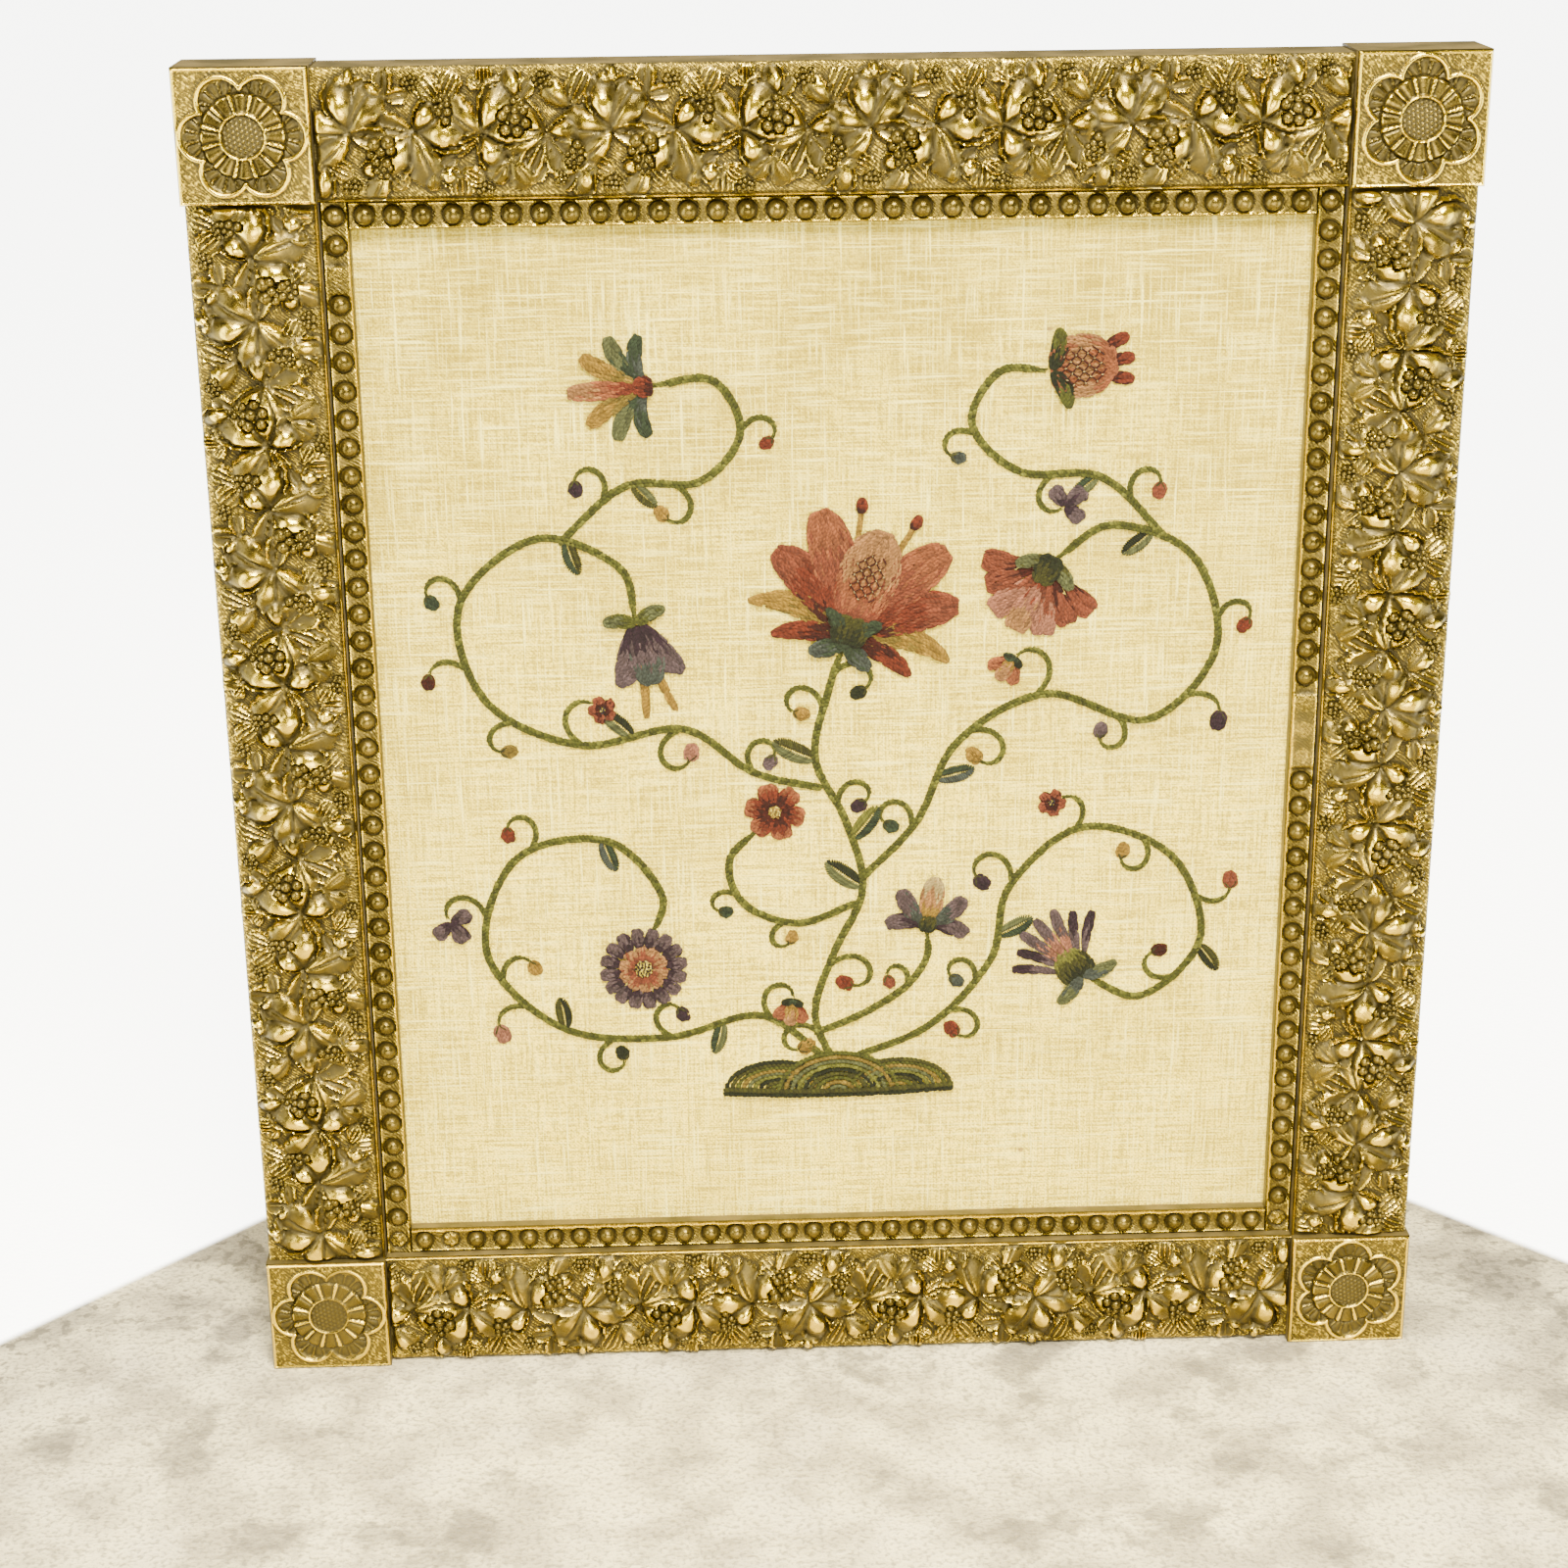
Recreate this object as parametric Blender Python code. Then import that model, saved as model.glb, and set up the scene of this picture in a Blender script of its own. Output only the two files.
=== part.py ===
"""Crewel embroidery panel in a gilt frame with corner blocks.

Metres, +Z up, the embroidered face towards -Y. The origin is under the middle of the frame, on the
surface that it stands on. The frame is made of four rails with a band of vine leaves in relief, four
square corner blocks that each hold a rosette, and four inner strips of beads. The linen lies in the
rebate behind the strips.

Everything is laid out in the panel's own plane, with x to the right, y up and z towards the viewer,
and hangs on one empty that stands this plane upright.
"""

import math
from collections import namedtuple

import bmesh
import bpy
import numpy as np
from mathutils import Matrix
from mathutils.geometry import delaunay_2d_cdt

# Overall sizes
FRAME_WIDTH = 0.660
FRAME_HEIGHT = 0.738
FRAME_DEPTH = 0.042
PIECE_GAP = 0.0003

# Corner blocks and rails: the rails lie a little inside the blocks' outer sides
BLOCK_SIDE = 0.0682
BLOCK_PROUD = 0.0015
RAIL_WIDTH = BLOCK_SIDE - BLOCK_PROUD
RAIL_REPEAT = 0.131

# Bead strip inside the rails
STRIP_WIDTH = 0.0147
BEAD_RADIUS = 0.0051
BEAD_PITCH = 0.0150

# Levels along the panel's z, from the back of the frame to its front
BACK = -FRAME_DEPTH / 2
ROSETTE_RISE = 0.0022
BLOCK_FACE = FRAME_DEPTH / 2 - ROSETTE_RISE
RAIL_GROUND = BLOCK_FACE - 0.0055
STRIP_GROUND = BLOCK_FACE - 0.0125
LINEN_FRONT = BLOCK_FACE - 0.0190

# Linen
LINEN_THICKNESS = 0.0020
LINEN_WAVE = 0.0012
LINEN_CELL = 0.027

# Relief of the leaf band
LEAF_RISE = 0.0072
BERRY_RISE = 0.0046
LOBE_CENTRE = 0.58
LOBE_HALF_LENGTH = 0.46
LOBE_HALF_WIDTH = 0.31
LOBE_FULLNESS = 0.45

# Rosette, as radii from the middle of the block
PEBBLE_RADIUS = 0.0102
COLLAR_RADIUS = 0.0113
PETAL_ROOT = 0.0125
PETAL_TIP = 0.0213
PETAL_COUNT = 12
LOBE_COUNT = 6
LOBE_OFFSET = 0.0200
LOBE_RADIUS = 0.0118
RIM_WIDTH = 0.0011

Leaf = namedtuple("Leaf", "along across heading reach")
Cluster = namedtuple("Cluster", "along across radius")
Finish = namedtuple("Finish", "colour roughness metallic")

# One repeat of the leaf band: places in metres, from its start and from the rail's middle line,
# the heading in degrees from the rail's length towards its outer side
LEAVES = (
    Leaf(0.018, 0.002, 108, 0.0270),
    Leaf(0.050, -0.001, -66, 0.0275),
    Leaf(0.084, 0.001, 74, 0.0265),
    Leaf(0.116, -0.002, -112, 0.0270),
)
CLUSTERS = (
    Cluster(0.046, 0.022, 0.0072),
    Cluster(0.020, -0.024, 0.0076),
    Cluster(0.083, -0.024, 0.0072),
    Cluster(0.113, 0.023, 0.0072),
)

# Lobes of a leaf: the turn from its heading in degrees and the share of its reach
LOBES = ((-122, 0.66), (-62, 0.88), (0, 1.00), (62, 0.88), (122, 0.66))

# Beads that are lost: the strip, and the bead's number from the strip's left or lower end
LOST_BEADS = {
    "bead_strip_left": (0, 37),
    "bead_strip_right": (0, 19, 20, 21),
    "bead_strip_bottom": (1,),
}

FINISHES = {
    "gilt_band": Finish((0.56, 0.39, 0.11), 0.34, 0.85),
    "gilt_block": Finish((0.60, 0.43, 0.15), 0.42, 0.80),
    "gilt_bead": Finish((0.50, 0.36, 0.11), 0.36, 0.85),
    "linen": Finish((0.82, 0.74, 0.53), 0.92, 0.0),
}


def clear_scene():
    """Removes every object of the open file."""
    for old in list(bpy.data.objects):
        bpy.data.objects.remove(old, do_unlink=True)


def finish_material(slot):
    """Makes the Principled material of one slot."""
    material = bpy.data.materials.new(slot)
    material.use_nodes = True
    shader = material.node_tree.nodes["Principled BSDF"]
    shader.inputs["Base Color"].default_value = (*FINISHES[slot].colour, 1.0)
    shader.inputs["Roughness"].default_value = FINISHES[slot].roughness
    shader.inputs["Metallic"].default_value = FINISHES[slot].metallic
    return material


def ring(centre, radii, count, turn=0.0):
    """Points of an ellipse whose axes are turned by an angle, as an array of rows x, y."""
    angle = np.arange(count) * (2 * math.pi / count)
    local = np.stack((radii[0] * np.cos(angle), radii[1] * np.sin(angle)), axis=1)
    cosine, sine = math.cos(turn), math.sin(turn)
    return local @ np.array(((cosine, sine), (-sine, cosine))) + np.asarray(centre)


def rectangle_loop(length, width, step):
    """Points round a rectangle, anticlockwise, no further than a step apart."""
    along = np.linspace(-length / 2, length / 2, max(2, math.ceil(length / step) + 1))[:-1]
    across = np.linspace(-width / 2, width / 2, max(2, math.ceil(width / step) + 1))[:-1]
    sides = (
        np.stack((along, np.full_like(along, -width / 2)), axis=1),
        np.stack((np.full_like(across, length / 2), across), axis=1),
        np.stack((-along, np.full_like(along, width / 2)), axis=1),
        np.stack((np.full_like(across, -length / 2), -across), axis=1),
    )
    return np.concatenate(sides)


def thinned(points, length, width, margin, spacing):
    """Drops points near the rectangle's sides or close to a point that is already kept."""
    inside = (np.abs(points[:, 0]) < length / 2 - margin) & (np.abs(points[:, 1]) < width / 2 - margin)
    kept = []
    for point in points[inside]:
        if all(math.dist(point, other) > spacing for other in kept[-160:]):
            kept.append(tuple(point))
    return np.array(kept)


def relief_body(name, size, thickness, points, height_at, edge_step, slot):
    """Makes a slab whose front is a relief.

    The slab's back lies on z = 0 and its ground on z = thickness. The front is a triangle net
    over the given points, each raised by height_at, and its sides drop straight to the back.
    """
    length, width = size
    loop = rectangle_loop(length, width, edge_step)
    inner = thinned(points, length, width, margin=0.0012, spacing=0.0009)
    plan = np.concatenate((loop, inner))
    border = list(range(len(loop)))
    corners, _, faces, _, _, _ = delaunay_2d_cdt([tuple(row) for row in plan], [], [border], 1, 1e-7)
    plan = np.array([tuple(corner) for corner in corners])
    rise = thickness + height_at(plan)

    body = bmesh.new()
    front = [body.verts.new((x, y, z)) for (x, y), z in zip(plan, rise)]
    for face in faces:
        body.faces.new([front[index] for index in face])
    rim = [edge for edge in body.edges if len(edge.link_faces) == 1]
    skirt = bmesh.ops.extrude_edge_only(body, edges=rim)["geom"]
    for part in skirt:
        if isinstance(part, bmesh.types.BMVert):
            part.co.z = 0.0
    rim = [edge for edge in body.edges if len(edge.link_faces) == 1]
    bmesh.ops.edgeloop_fill(body, edges=rim)
    bmesh.ops.dissolve_limit(body, angle_limit=math.radians(0.01), verts=body.verts, edges=body.edges)
    bmesh.ops.triangulate(body, faces=body.faces)
    bmesh.ops.recalc_face_normals(body, faces=body.faces)

    mesh = bpy.data.meshes.new(name)
    body.to_mesh(mesh)
    body.free()
    return place_mesh(name, mesh, slot)


def place_mesh(name, mesh, slot):
    """Links a mesh to the scene as a named object with its finish."""
    mesh.materials.append(bpy.data.materials.get(slot) or finish_material(slot))
    piece = bpy.data.objects.new(name, mesh)
    bpy.context.scene.collection.objects.link(piece)
    return piece


def band_items(items, length):
    """Repeats a table's rows along a rail, with the rail's middle as zero."""
    start = -length / 2
    repeats = math.ceil(length / RAIL_REPEAT)
    shifted = [
        row._replace(along=start + number * RAIL_REPEAT + row.along)
        for number in range(repeats)
        for row in items
    ]
    return [row for row in shifted if row.along < length / 2 + 0.010]


def leaf_lobes(leaves):
    """Lists each lobe as its middle, its turn and its two half axes."""
    lobes = []
    for leaf in leaves:
        for swing, share in LOBES:
            turn = math.radians(leaf.heading + swing)
            reach = leaf.reach * share
            middle = (
                leaf.along + LOBE_CENTRE * reach * math.cos(turn),
                leaf.across + LOBE_CENTRE * reach * math.sin(turn),
            )
            lobes.append((middle, turn, (LOBE_HALF_LENGTH * reach, LOBE_HALF_WIDTH * reach)))
    return lobes


def pillow(plan, middle, turn, radii, rise):
    """Height of a pillow on an ellipse: its rise times a root of what the ellipse leaves."""
    offset = plan - np.asarray(middle)
    along = (offset[:, 0] * math.cos(turn) + offset[:, 1] * math.sin(turn)) / radii[0]
    across = (offset[:, 1] * math.cos(turn) - offset[:, 0] * math.sin(turn)) / radii[1]
    return rise * np.clip(1.0 - along**2 - across**2, 0.0, None) ** LOBE_FULLNESS


def make_rail(name, length):
    """Makes a rail with its band of vine leaves and berry clusters."""
    lobes = leaf_lobes(band_items(LEAVES, length))
    clusters = band_items(CLUSTERS, length)

    def height_at(plan):
        height = np.zeros(len(plan))
        for middle, turn, radii in lobes:
            height = np.maximum(height, pillow(plan, middle, turn, radii, LEAF_RISE))
        for cluster in clusters:
            middle, radius = (cluster.along, cluster.across), cluster.radius
            height = np.maximum(height, pillow(plan, middle, 0.0, (radius, radius), BERRY_RISE))
        return height

    crowns = np.array([middle for middle, _, _ in lobes])
    shoulders = np.concatenate([ring(m, (0.86 * r[0], 0.86 * r[1]), 3, t) for m, t, r in lobes])
    skirts = np.concatenate([ring(m, (1.03 * r[0], 1.03 * r[1]), 5, t) for m, t, r in lobes])
    skirts = skirts[height_at(skirts) <= 0.0]
    berries = [ring((c.along, c.across), (c.radius * s, c.radius * s), 5) for c in clusters for s in (1.02, 0.40)]
    points = np.concatenate([crowns, skirts, shoulders, *berries])
    return relief_body(name, (length, RAIL_WIDTH), RAIL_GROUND - BACK, points, height_at, 0.0165, "gilt_band")


def rosette_height(plan, lobe_turn):
    """Height over the block's face: pebbled middle, fluted petals, six sunk lobes and their rim."""
    radius = np.hypot(plan[:, 0], plan[:, 1])
    angle = np.arctan2(plan[:, 1], plan[:, 0])
    flute = 0.5 + 0.5 * np.cos(PETAL_COUNT * (angle - lobe_turn))
    slope = np.clip((PETAL_TIP - radius) / (PETAL_TIP - PETAL_ROOT), 0.0, 1.0)
    petals = 0.0001 + 0.0006 * slope + 0.0013 * flute

    lobe_step = 2 * math.pi / LOBE_COUNT
    near = (angle - lobe_turn + lobe_step / 2) % lobe_step - lobe_step / 2
    from_lobe = np.hypot(radius * np.cos(near) - LOBE_OFFSET, radius * np.sin(near))
    height = np.where(from_lobe < LOBE_RADIUS, -0.0010, 0.0)
    height = np.where(np.abs(from_lobe - LOBE_RADIUS) < RIM_WIDTH * 0.6, 0.0012, height)
    height = np.where(radius < PETAL_TIP + 0.0003, petals, height)
    height = np.where(radius < PETAL_ROOT - 0.0003, ROSETTE_RISE, height)
    return np.where(radius < PEBBLE_RADIUS + 0.0001, 0.0016, height)


def make_block(name, lobe_turn):
    """Makes a corner block with its rosette; the turn sets where the first lobe points."""
    centre = (0.0, 0.0)
    step = 2 * math.pi / PETAL_COUNT
    rings = [
        np.zeros((1, 2)),
        ring(centre, (PEBBLE_RADIUS, PEBBLE_RADIUS), PETAL_COUNT, lobe_turn),
        ring(centre, (COLLAR_RADIUS, COLLAR_RADIUS), PETAL_COUNT, lobe_turn + step / 2),
        ring(centre, (PETAL_ROOT, PETAL_ROOT), 2 * PETAL_COUNT, lobe_turn),
        ring(centre, (PETAL_TIP, PETAL_TIP), 2 * PETAL_COUNT, lobe_turn),
    ]
    for number in range(LOBE_COUNT):
        turn = lobe_turn + number * 2 * math.pi / LOBE_COUNT
        middle = (LOBE_OFFSET * math.cos(turn), LOBE_OFFSET * math.sin(turn))
        for radius in (LOBE_RADIUS - RIM_WIDTH, LOBE_RADIUS, LOBE_RADIUS + RIM_WIDTH):
            rings.append(ring(middle, (radius, radius), 12, turn))
    points = np.concatenate(rings)
    hidden = np.hypot(points[:, 0], points[:, 1])
    angle = (np.arctan2(points[:, 1], points[:, 0]) - lobe_turn + math.pi / 6) % (math.pi / 3) - math.pi / 6
    from_lobe = np.hypot(hidden * np.cos(angle) - LOBE_OFFSET, hidden * np.sin(angle))
    rosette = np.arange(len(points)) < sum(len(part) for part in rings[:5])
    outside = (hidden > PETAL_TIP + 0.0008) & (from_lobe > LOBE_RADIUS - 1.5 * RIM_WIDTH)
    points = points[rosette | outside]
    return relief_body(
        name,
        (BLOCK_SIDE, BLOCK_SIDE),
        BLOCK_FACE - BACK,
        points,
        lambda plan: rosette_height(plan, lobe_turn),
        0.040,
        "gilt_block",
    )


def make_bead_strip(name, length, width):
    """Makes a strip with a row of half round beads, without those that are lost."""
    count = round((length - STRIP_WIDTH) / BEAD_PITCH) + 1
    places = np.linspace(-(length - STRIP_WIDTH) / 2, (length - STRIP_WIDTH) / 2, count)
    places = [x for number, x in enumerate(places) if number not in LOST_BEADS.get(name, ())]

    def height_at(plan):
        height = np.zeros(len(plan))
        for place in places:
            reach = np.hypot(plan[:, 0] - place, plan[:, 1])
            height = np.maximum(height, np.sqrt(np.clip(BEAD_RADIUS**2 - reach**2, 0.0, None)))
        return height

    beads = []
    for place in places:
        beads.append(np.array(((place, 0.0),)))
        for share in (0.74, 1.0):
            beads.append(ring((place, 0.0), (share * BEAD_RADIUS,) * 2, 6))
    thickness = STRIP_GROUND - LINEN_FRONT - PIECE_GAP
    return relief_body(name, (length, width), thickness, np.concatenate(beads), height_at, 0.080, "gilt_bead")


def linen_wave(x, y):
    """Height of the stretched cloth: shallow slanting waves that die out under the strips."""
    sight_width = FRAME_WIDTH - 2 * (BLOCK_SIDE + STRIP_WIDTH)
    sight_height = FRAME_HEIGHT - 2 * (BLOCK_SIDE + STRIP_WIDTH)
    fade = np.clip((sight_width / 2 - np.abs(x)) / 0.060, 0.0, 1.0)
    fade = fade * np.clip((sight_height / 2 - np.abs(y)) / 0.060, 0.0, 1.0)
    slanting = 0.55 * np.sin(2 * math.pi * (x / 0.30 + y / 0.46) + 0.6)
    upright = 0.30 * np.sin(2 * math.pi * (x / 0.17 - y / 0.90))
    level = 0.15 * np.sin(2 * math.pi * (y / 0.13 + x / 0.80) + 1.1)
    return LINEN_WAVE * fade * (slanting + upright + level)


def make_linen(name, width, height):
    """Makes the linen: a waved net, thickened backwards to the cloth's depth in the rebate."""
    columns = round(width / LINEN_CELL)
    rows = round(height / LINEN_CELL)
    cloth = bmesh.new()
    bmesh.ops.create_grid(
        cloth,
        x_segments=columns,
        y_segments=rows,
        size=0.5,
        matrix=Matrix.Diagonal((width, height, 1.0, 1.0)),
    )
    for vertex in cloth.verts:
        vertex.co.z = float(linen_wave(vertex.co.x, vertex.co.y))
    mesh = bpy.data.meshes.new(name)
    cloth.to_mesh(mesh)
    cloth.free()
    piece = place_mesh(name, mesh, "linen")
    thicken = piece.modifiers.new("cloth depth", "SOLIDIFY")
    thicken.thickness = LINEN_THICKNESS
    thicken.offset = -1.0
    return piece


def lay(piece, root, x, y, level, turn=0.0):
    """Hangs a piece on the upright empty, at its place in the panel's plane."""
    piece.parent = root
    piece.location = (x, y, level)
    piece.rotation_euler = (0.0, 0.0, turn)


def build_panel():
    """Builds every piece of the panel and of the frame that holds it."""
    clear_scene()
    root = bpy.data.objects.new("upright_panel", None)
    root.location = (0.0, 0.0, FRAME_HEIGHT / 2)
    root.rotation_euler = (math.pi / 2, 0.0, 0.0)
    bpy.context.scene.collection.objects.link(root)

    half_width, half_height = FRAME_WIDTH / 2, FRAME_HEIGHT / 2
    inner_width = FRAME_WIDTH - 2 * BLOCK_SIDE
    inner_height = FRAME_HEIGHT - 2 * BLOCK_SIDE
    rail_lengths = {"level": inner_width - 2 * PIECE_GAP, "upright": inner_height - 2 * PIECE_GAP}

    rail_x = half_width - BLOCK_SIDE + RAIL_WIDTH / 2
    rail_y = half_height - BLOCK_SIDE + RAIL_WIDTH / 2
    lay(make_rail("rail_top", rail_lengths["level"]), root, 0.0, rail_y, BACK)
    lay(make_rail("rail_bottom", rail_lengths["level"]), root, 0.0, -rail_y, BACK, math.pi)
    lay(make_rail("rail_left", rail_lengths["upright"]), root, -rail_x, 0.0, BACK, math.pi / 2)
    lay(make_rail("rail_right", rail_lengths["upright"]), root, rail_x, 0.0, BACK, -math.pi / 2)

    block_x, block_y = half_width - BLOCK_SIDE / 2, half_height - BLOCK_SIDE / 2
    lay(make_block("block_top_left", 0.0), root, -block_x, block_y, BACK)
    lay(make_block("block_top_right", math.pi / 2), root, block_x, block_y, BACK)
    lay(make_block("block_bottom_left", 0.0), root, -block_x, -block_y, BACK)
    lay(make_block("block_bottom_right", math.pi / 2), root, block_x, -block_y, BACK)

    strip_level = LINEN_FRONT + PIECE_GAP
    body_width = STRIP_WIDTH - PIECE_GAP
    strip_x = half_width - BLOCK_SIDE - PIECE_GAP - body_width / 2
    strip_y = half_height - BLOCK_SIDE - PIECE_GAP - body_width / 2
    upright_length = inner_height - 2 * PIECE_GAP
    level_length = inner_width - 2 * (PIECE_GAP + body_width + PIECE_GAP)
    turns = {"bead_strip_left": math.pi / 2, "bead_strip_right": math.pi / 2}
    for name, x in (("bead_strip_left", -strip_x), ("bead_strip_right", strip_x)):
        lay(make_bead_strip(name, upright_length, body_width), root, x, 0.0, strip_level, turns[name])
    for name, y in (("bead_strip_top", strip_y), ("bead_strip_bottom", -strip_y)):
        lay(make_bead_strip(name, level_length, body_width), root, 0.0, y, strip_level)

    linen = make_linen("linen_panel", inner_width - 2 * PIECE_GAP, inner_height - 2 * PIECE_GAP)
    lay(linen, root, 0.0, 0.0, LINEN_FRONT)
    bpy.context.view_layer.update()


build_panel()
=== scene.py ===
"""The finished looks of a framed crewel embroidery panel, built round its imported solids.

Lengths are in metres. The panel lies in an upright plane: x runs to the right, y runs up from the
panel's middle, and a piece's rise is measured towards the viewer. A Seat turns such numbers into
places in the frame. Reliefs are height fields on a grid, and stitches are short closed threads.
"""

from __future__ import annotations

import logging
import math
from dataclasses import dataclass, field, replace
from enum import Enum
from typing import Callable, ClassVar, Sequence

import bpy
import numpy as np
from mathutils import Matrix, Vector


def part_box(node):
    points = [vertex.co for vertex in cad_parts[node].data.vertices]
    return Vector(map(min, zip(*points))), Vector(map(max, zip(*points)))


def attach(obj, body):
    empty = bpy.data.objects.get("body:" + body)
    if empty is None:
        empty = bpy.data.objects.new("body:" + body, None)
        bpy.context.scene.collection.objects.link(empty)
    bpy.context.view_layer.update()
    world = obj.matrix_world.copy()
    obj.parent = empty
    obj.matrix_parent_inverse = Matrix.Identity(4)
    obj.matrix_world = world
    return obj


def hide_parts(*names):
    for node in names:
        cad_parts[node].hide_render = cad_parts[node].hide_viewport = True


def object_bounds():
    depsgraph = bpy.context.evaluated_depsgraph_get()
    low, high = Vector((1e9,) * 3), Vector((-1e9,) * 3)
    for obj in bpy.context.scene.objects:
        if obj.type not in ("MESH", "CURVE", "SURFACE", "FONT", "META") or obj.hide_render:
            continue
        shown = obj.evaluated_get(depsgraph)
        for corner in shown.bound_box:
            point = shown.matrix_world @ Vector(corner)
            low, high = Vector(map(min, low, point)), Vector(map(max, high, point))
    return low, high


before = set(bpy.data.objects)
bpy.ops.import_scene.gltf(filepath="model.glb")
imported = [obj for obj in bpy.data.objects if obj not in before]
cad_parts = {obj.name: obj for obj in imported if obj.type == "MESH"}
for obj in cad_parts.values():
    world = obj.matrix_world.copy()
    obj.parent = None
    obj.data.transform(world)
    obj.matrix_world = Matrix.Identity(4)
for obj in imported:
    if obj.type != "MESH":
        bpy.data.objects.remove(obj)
CAD_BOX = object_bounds()

Array = np.ndarray
Colour = tuple[float, float, float]
Material = bpy.types.Material
Piece = bpy.types.Object
LOG = logging.getLogger("crewel_panel")
BODY = "root"
MM = 0.001

# Levels of the frame's faces, as drops behind the corner blocks' face
ROSETTE_RISE = 2.2 * MM
RAIL_DROP = 5.5 * MM
STRIP_DROP = 12.5 * MM
LINEN_DROP = 19.0 * MM

# The wool thread that fills petals
THREAD = 1.25 * MM


class Yarn(Enum):
    """The crewel wools, as display colours of 0 to 255."""

    OLIVE = (100, 106, 46)
    OLIVE_LIGHT = (134, 138, 64)
    MOSS = (84, 86, 40)
    FOREST = (48, 56, 32)
    MAROON = (84, 36, 28)
    BRICK = (138, 68, 46)
    ROSE = (156, 90, 68)
    SALMON = (178, 112, 78)
    PEACH = (196, 148, 100)
    PINK = (188, 132, 112)
    LILAC = (114, 98, 108)
    PLUM = (68, 48, 66)
    SLATE = (88, 98, 96)
    TEAL = (68, 84, 66)
    SAGE = (114, 122, 86)
    MUSTARD = (186, 152, 62)
    GOLD = (154, 134, 60)
    CREAM = (214, 194, 138)
    BROWN = (74, 50, 30)

    @property
    def linear(self) -> Array:
        """The colour as the shader needs it, darker than it shows under the strong lamps."""
        return 0.37 * (np.array(self.value) / 255.0) ** 2.55


def operator(operation: str, reflected: bool = False) -> Callable[[Socket, Value], Socket]:
    """Makes the method of an operator, which adds one Math node.

    Args:
        operation: The node's operation.
        reflected: Whether the other value comes first.

    Returns:
        The method.
    """

    def method(self: Socket, other: Value) -> Socket:
        """Adds the node with both values and returns its result."""
        values = (other, self) if reflected else (self, other)
        return self.shader.add("ShaderNodeMath", {"operation": operation}, dict(enumerate(values)))

    return method


class Socket:
    """An output socket whose operators add Math nodes to its tree."""

    __add__, __radd__ = operator("ADD"), operator("ADD", True)
    __sub__, __rsub__ = operator("SUBTRACT"), operator("SUBTRACT", True)
    __mul__, __rmul__ = operator("MULTIPLY"), operator("MULTIPLY", True)
    __pow__, least, most = operator("POWER"), operator("MINIMUM"), operator("MAXIMUM")

    def __init__(self, shader: Shader, link: bpy.types.NodeSocket) -> None:
        """Keeps the socket and the shader that it belongs to."""
        self.shader = shader
        self.link = link

    def sine(self) -> Socket:
        """The sine of this value."""
        return self.shader.add("ShaderNodeMath", {"operation": "SINE"}, {0: self})


Value = float | Socket


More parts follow.
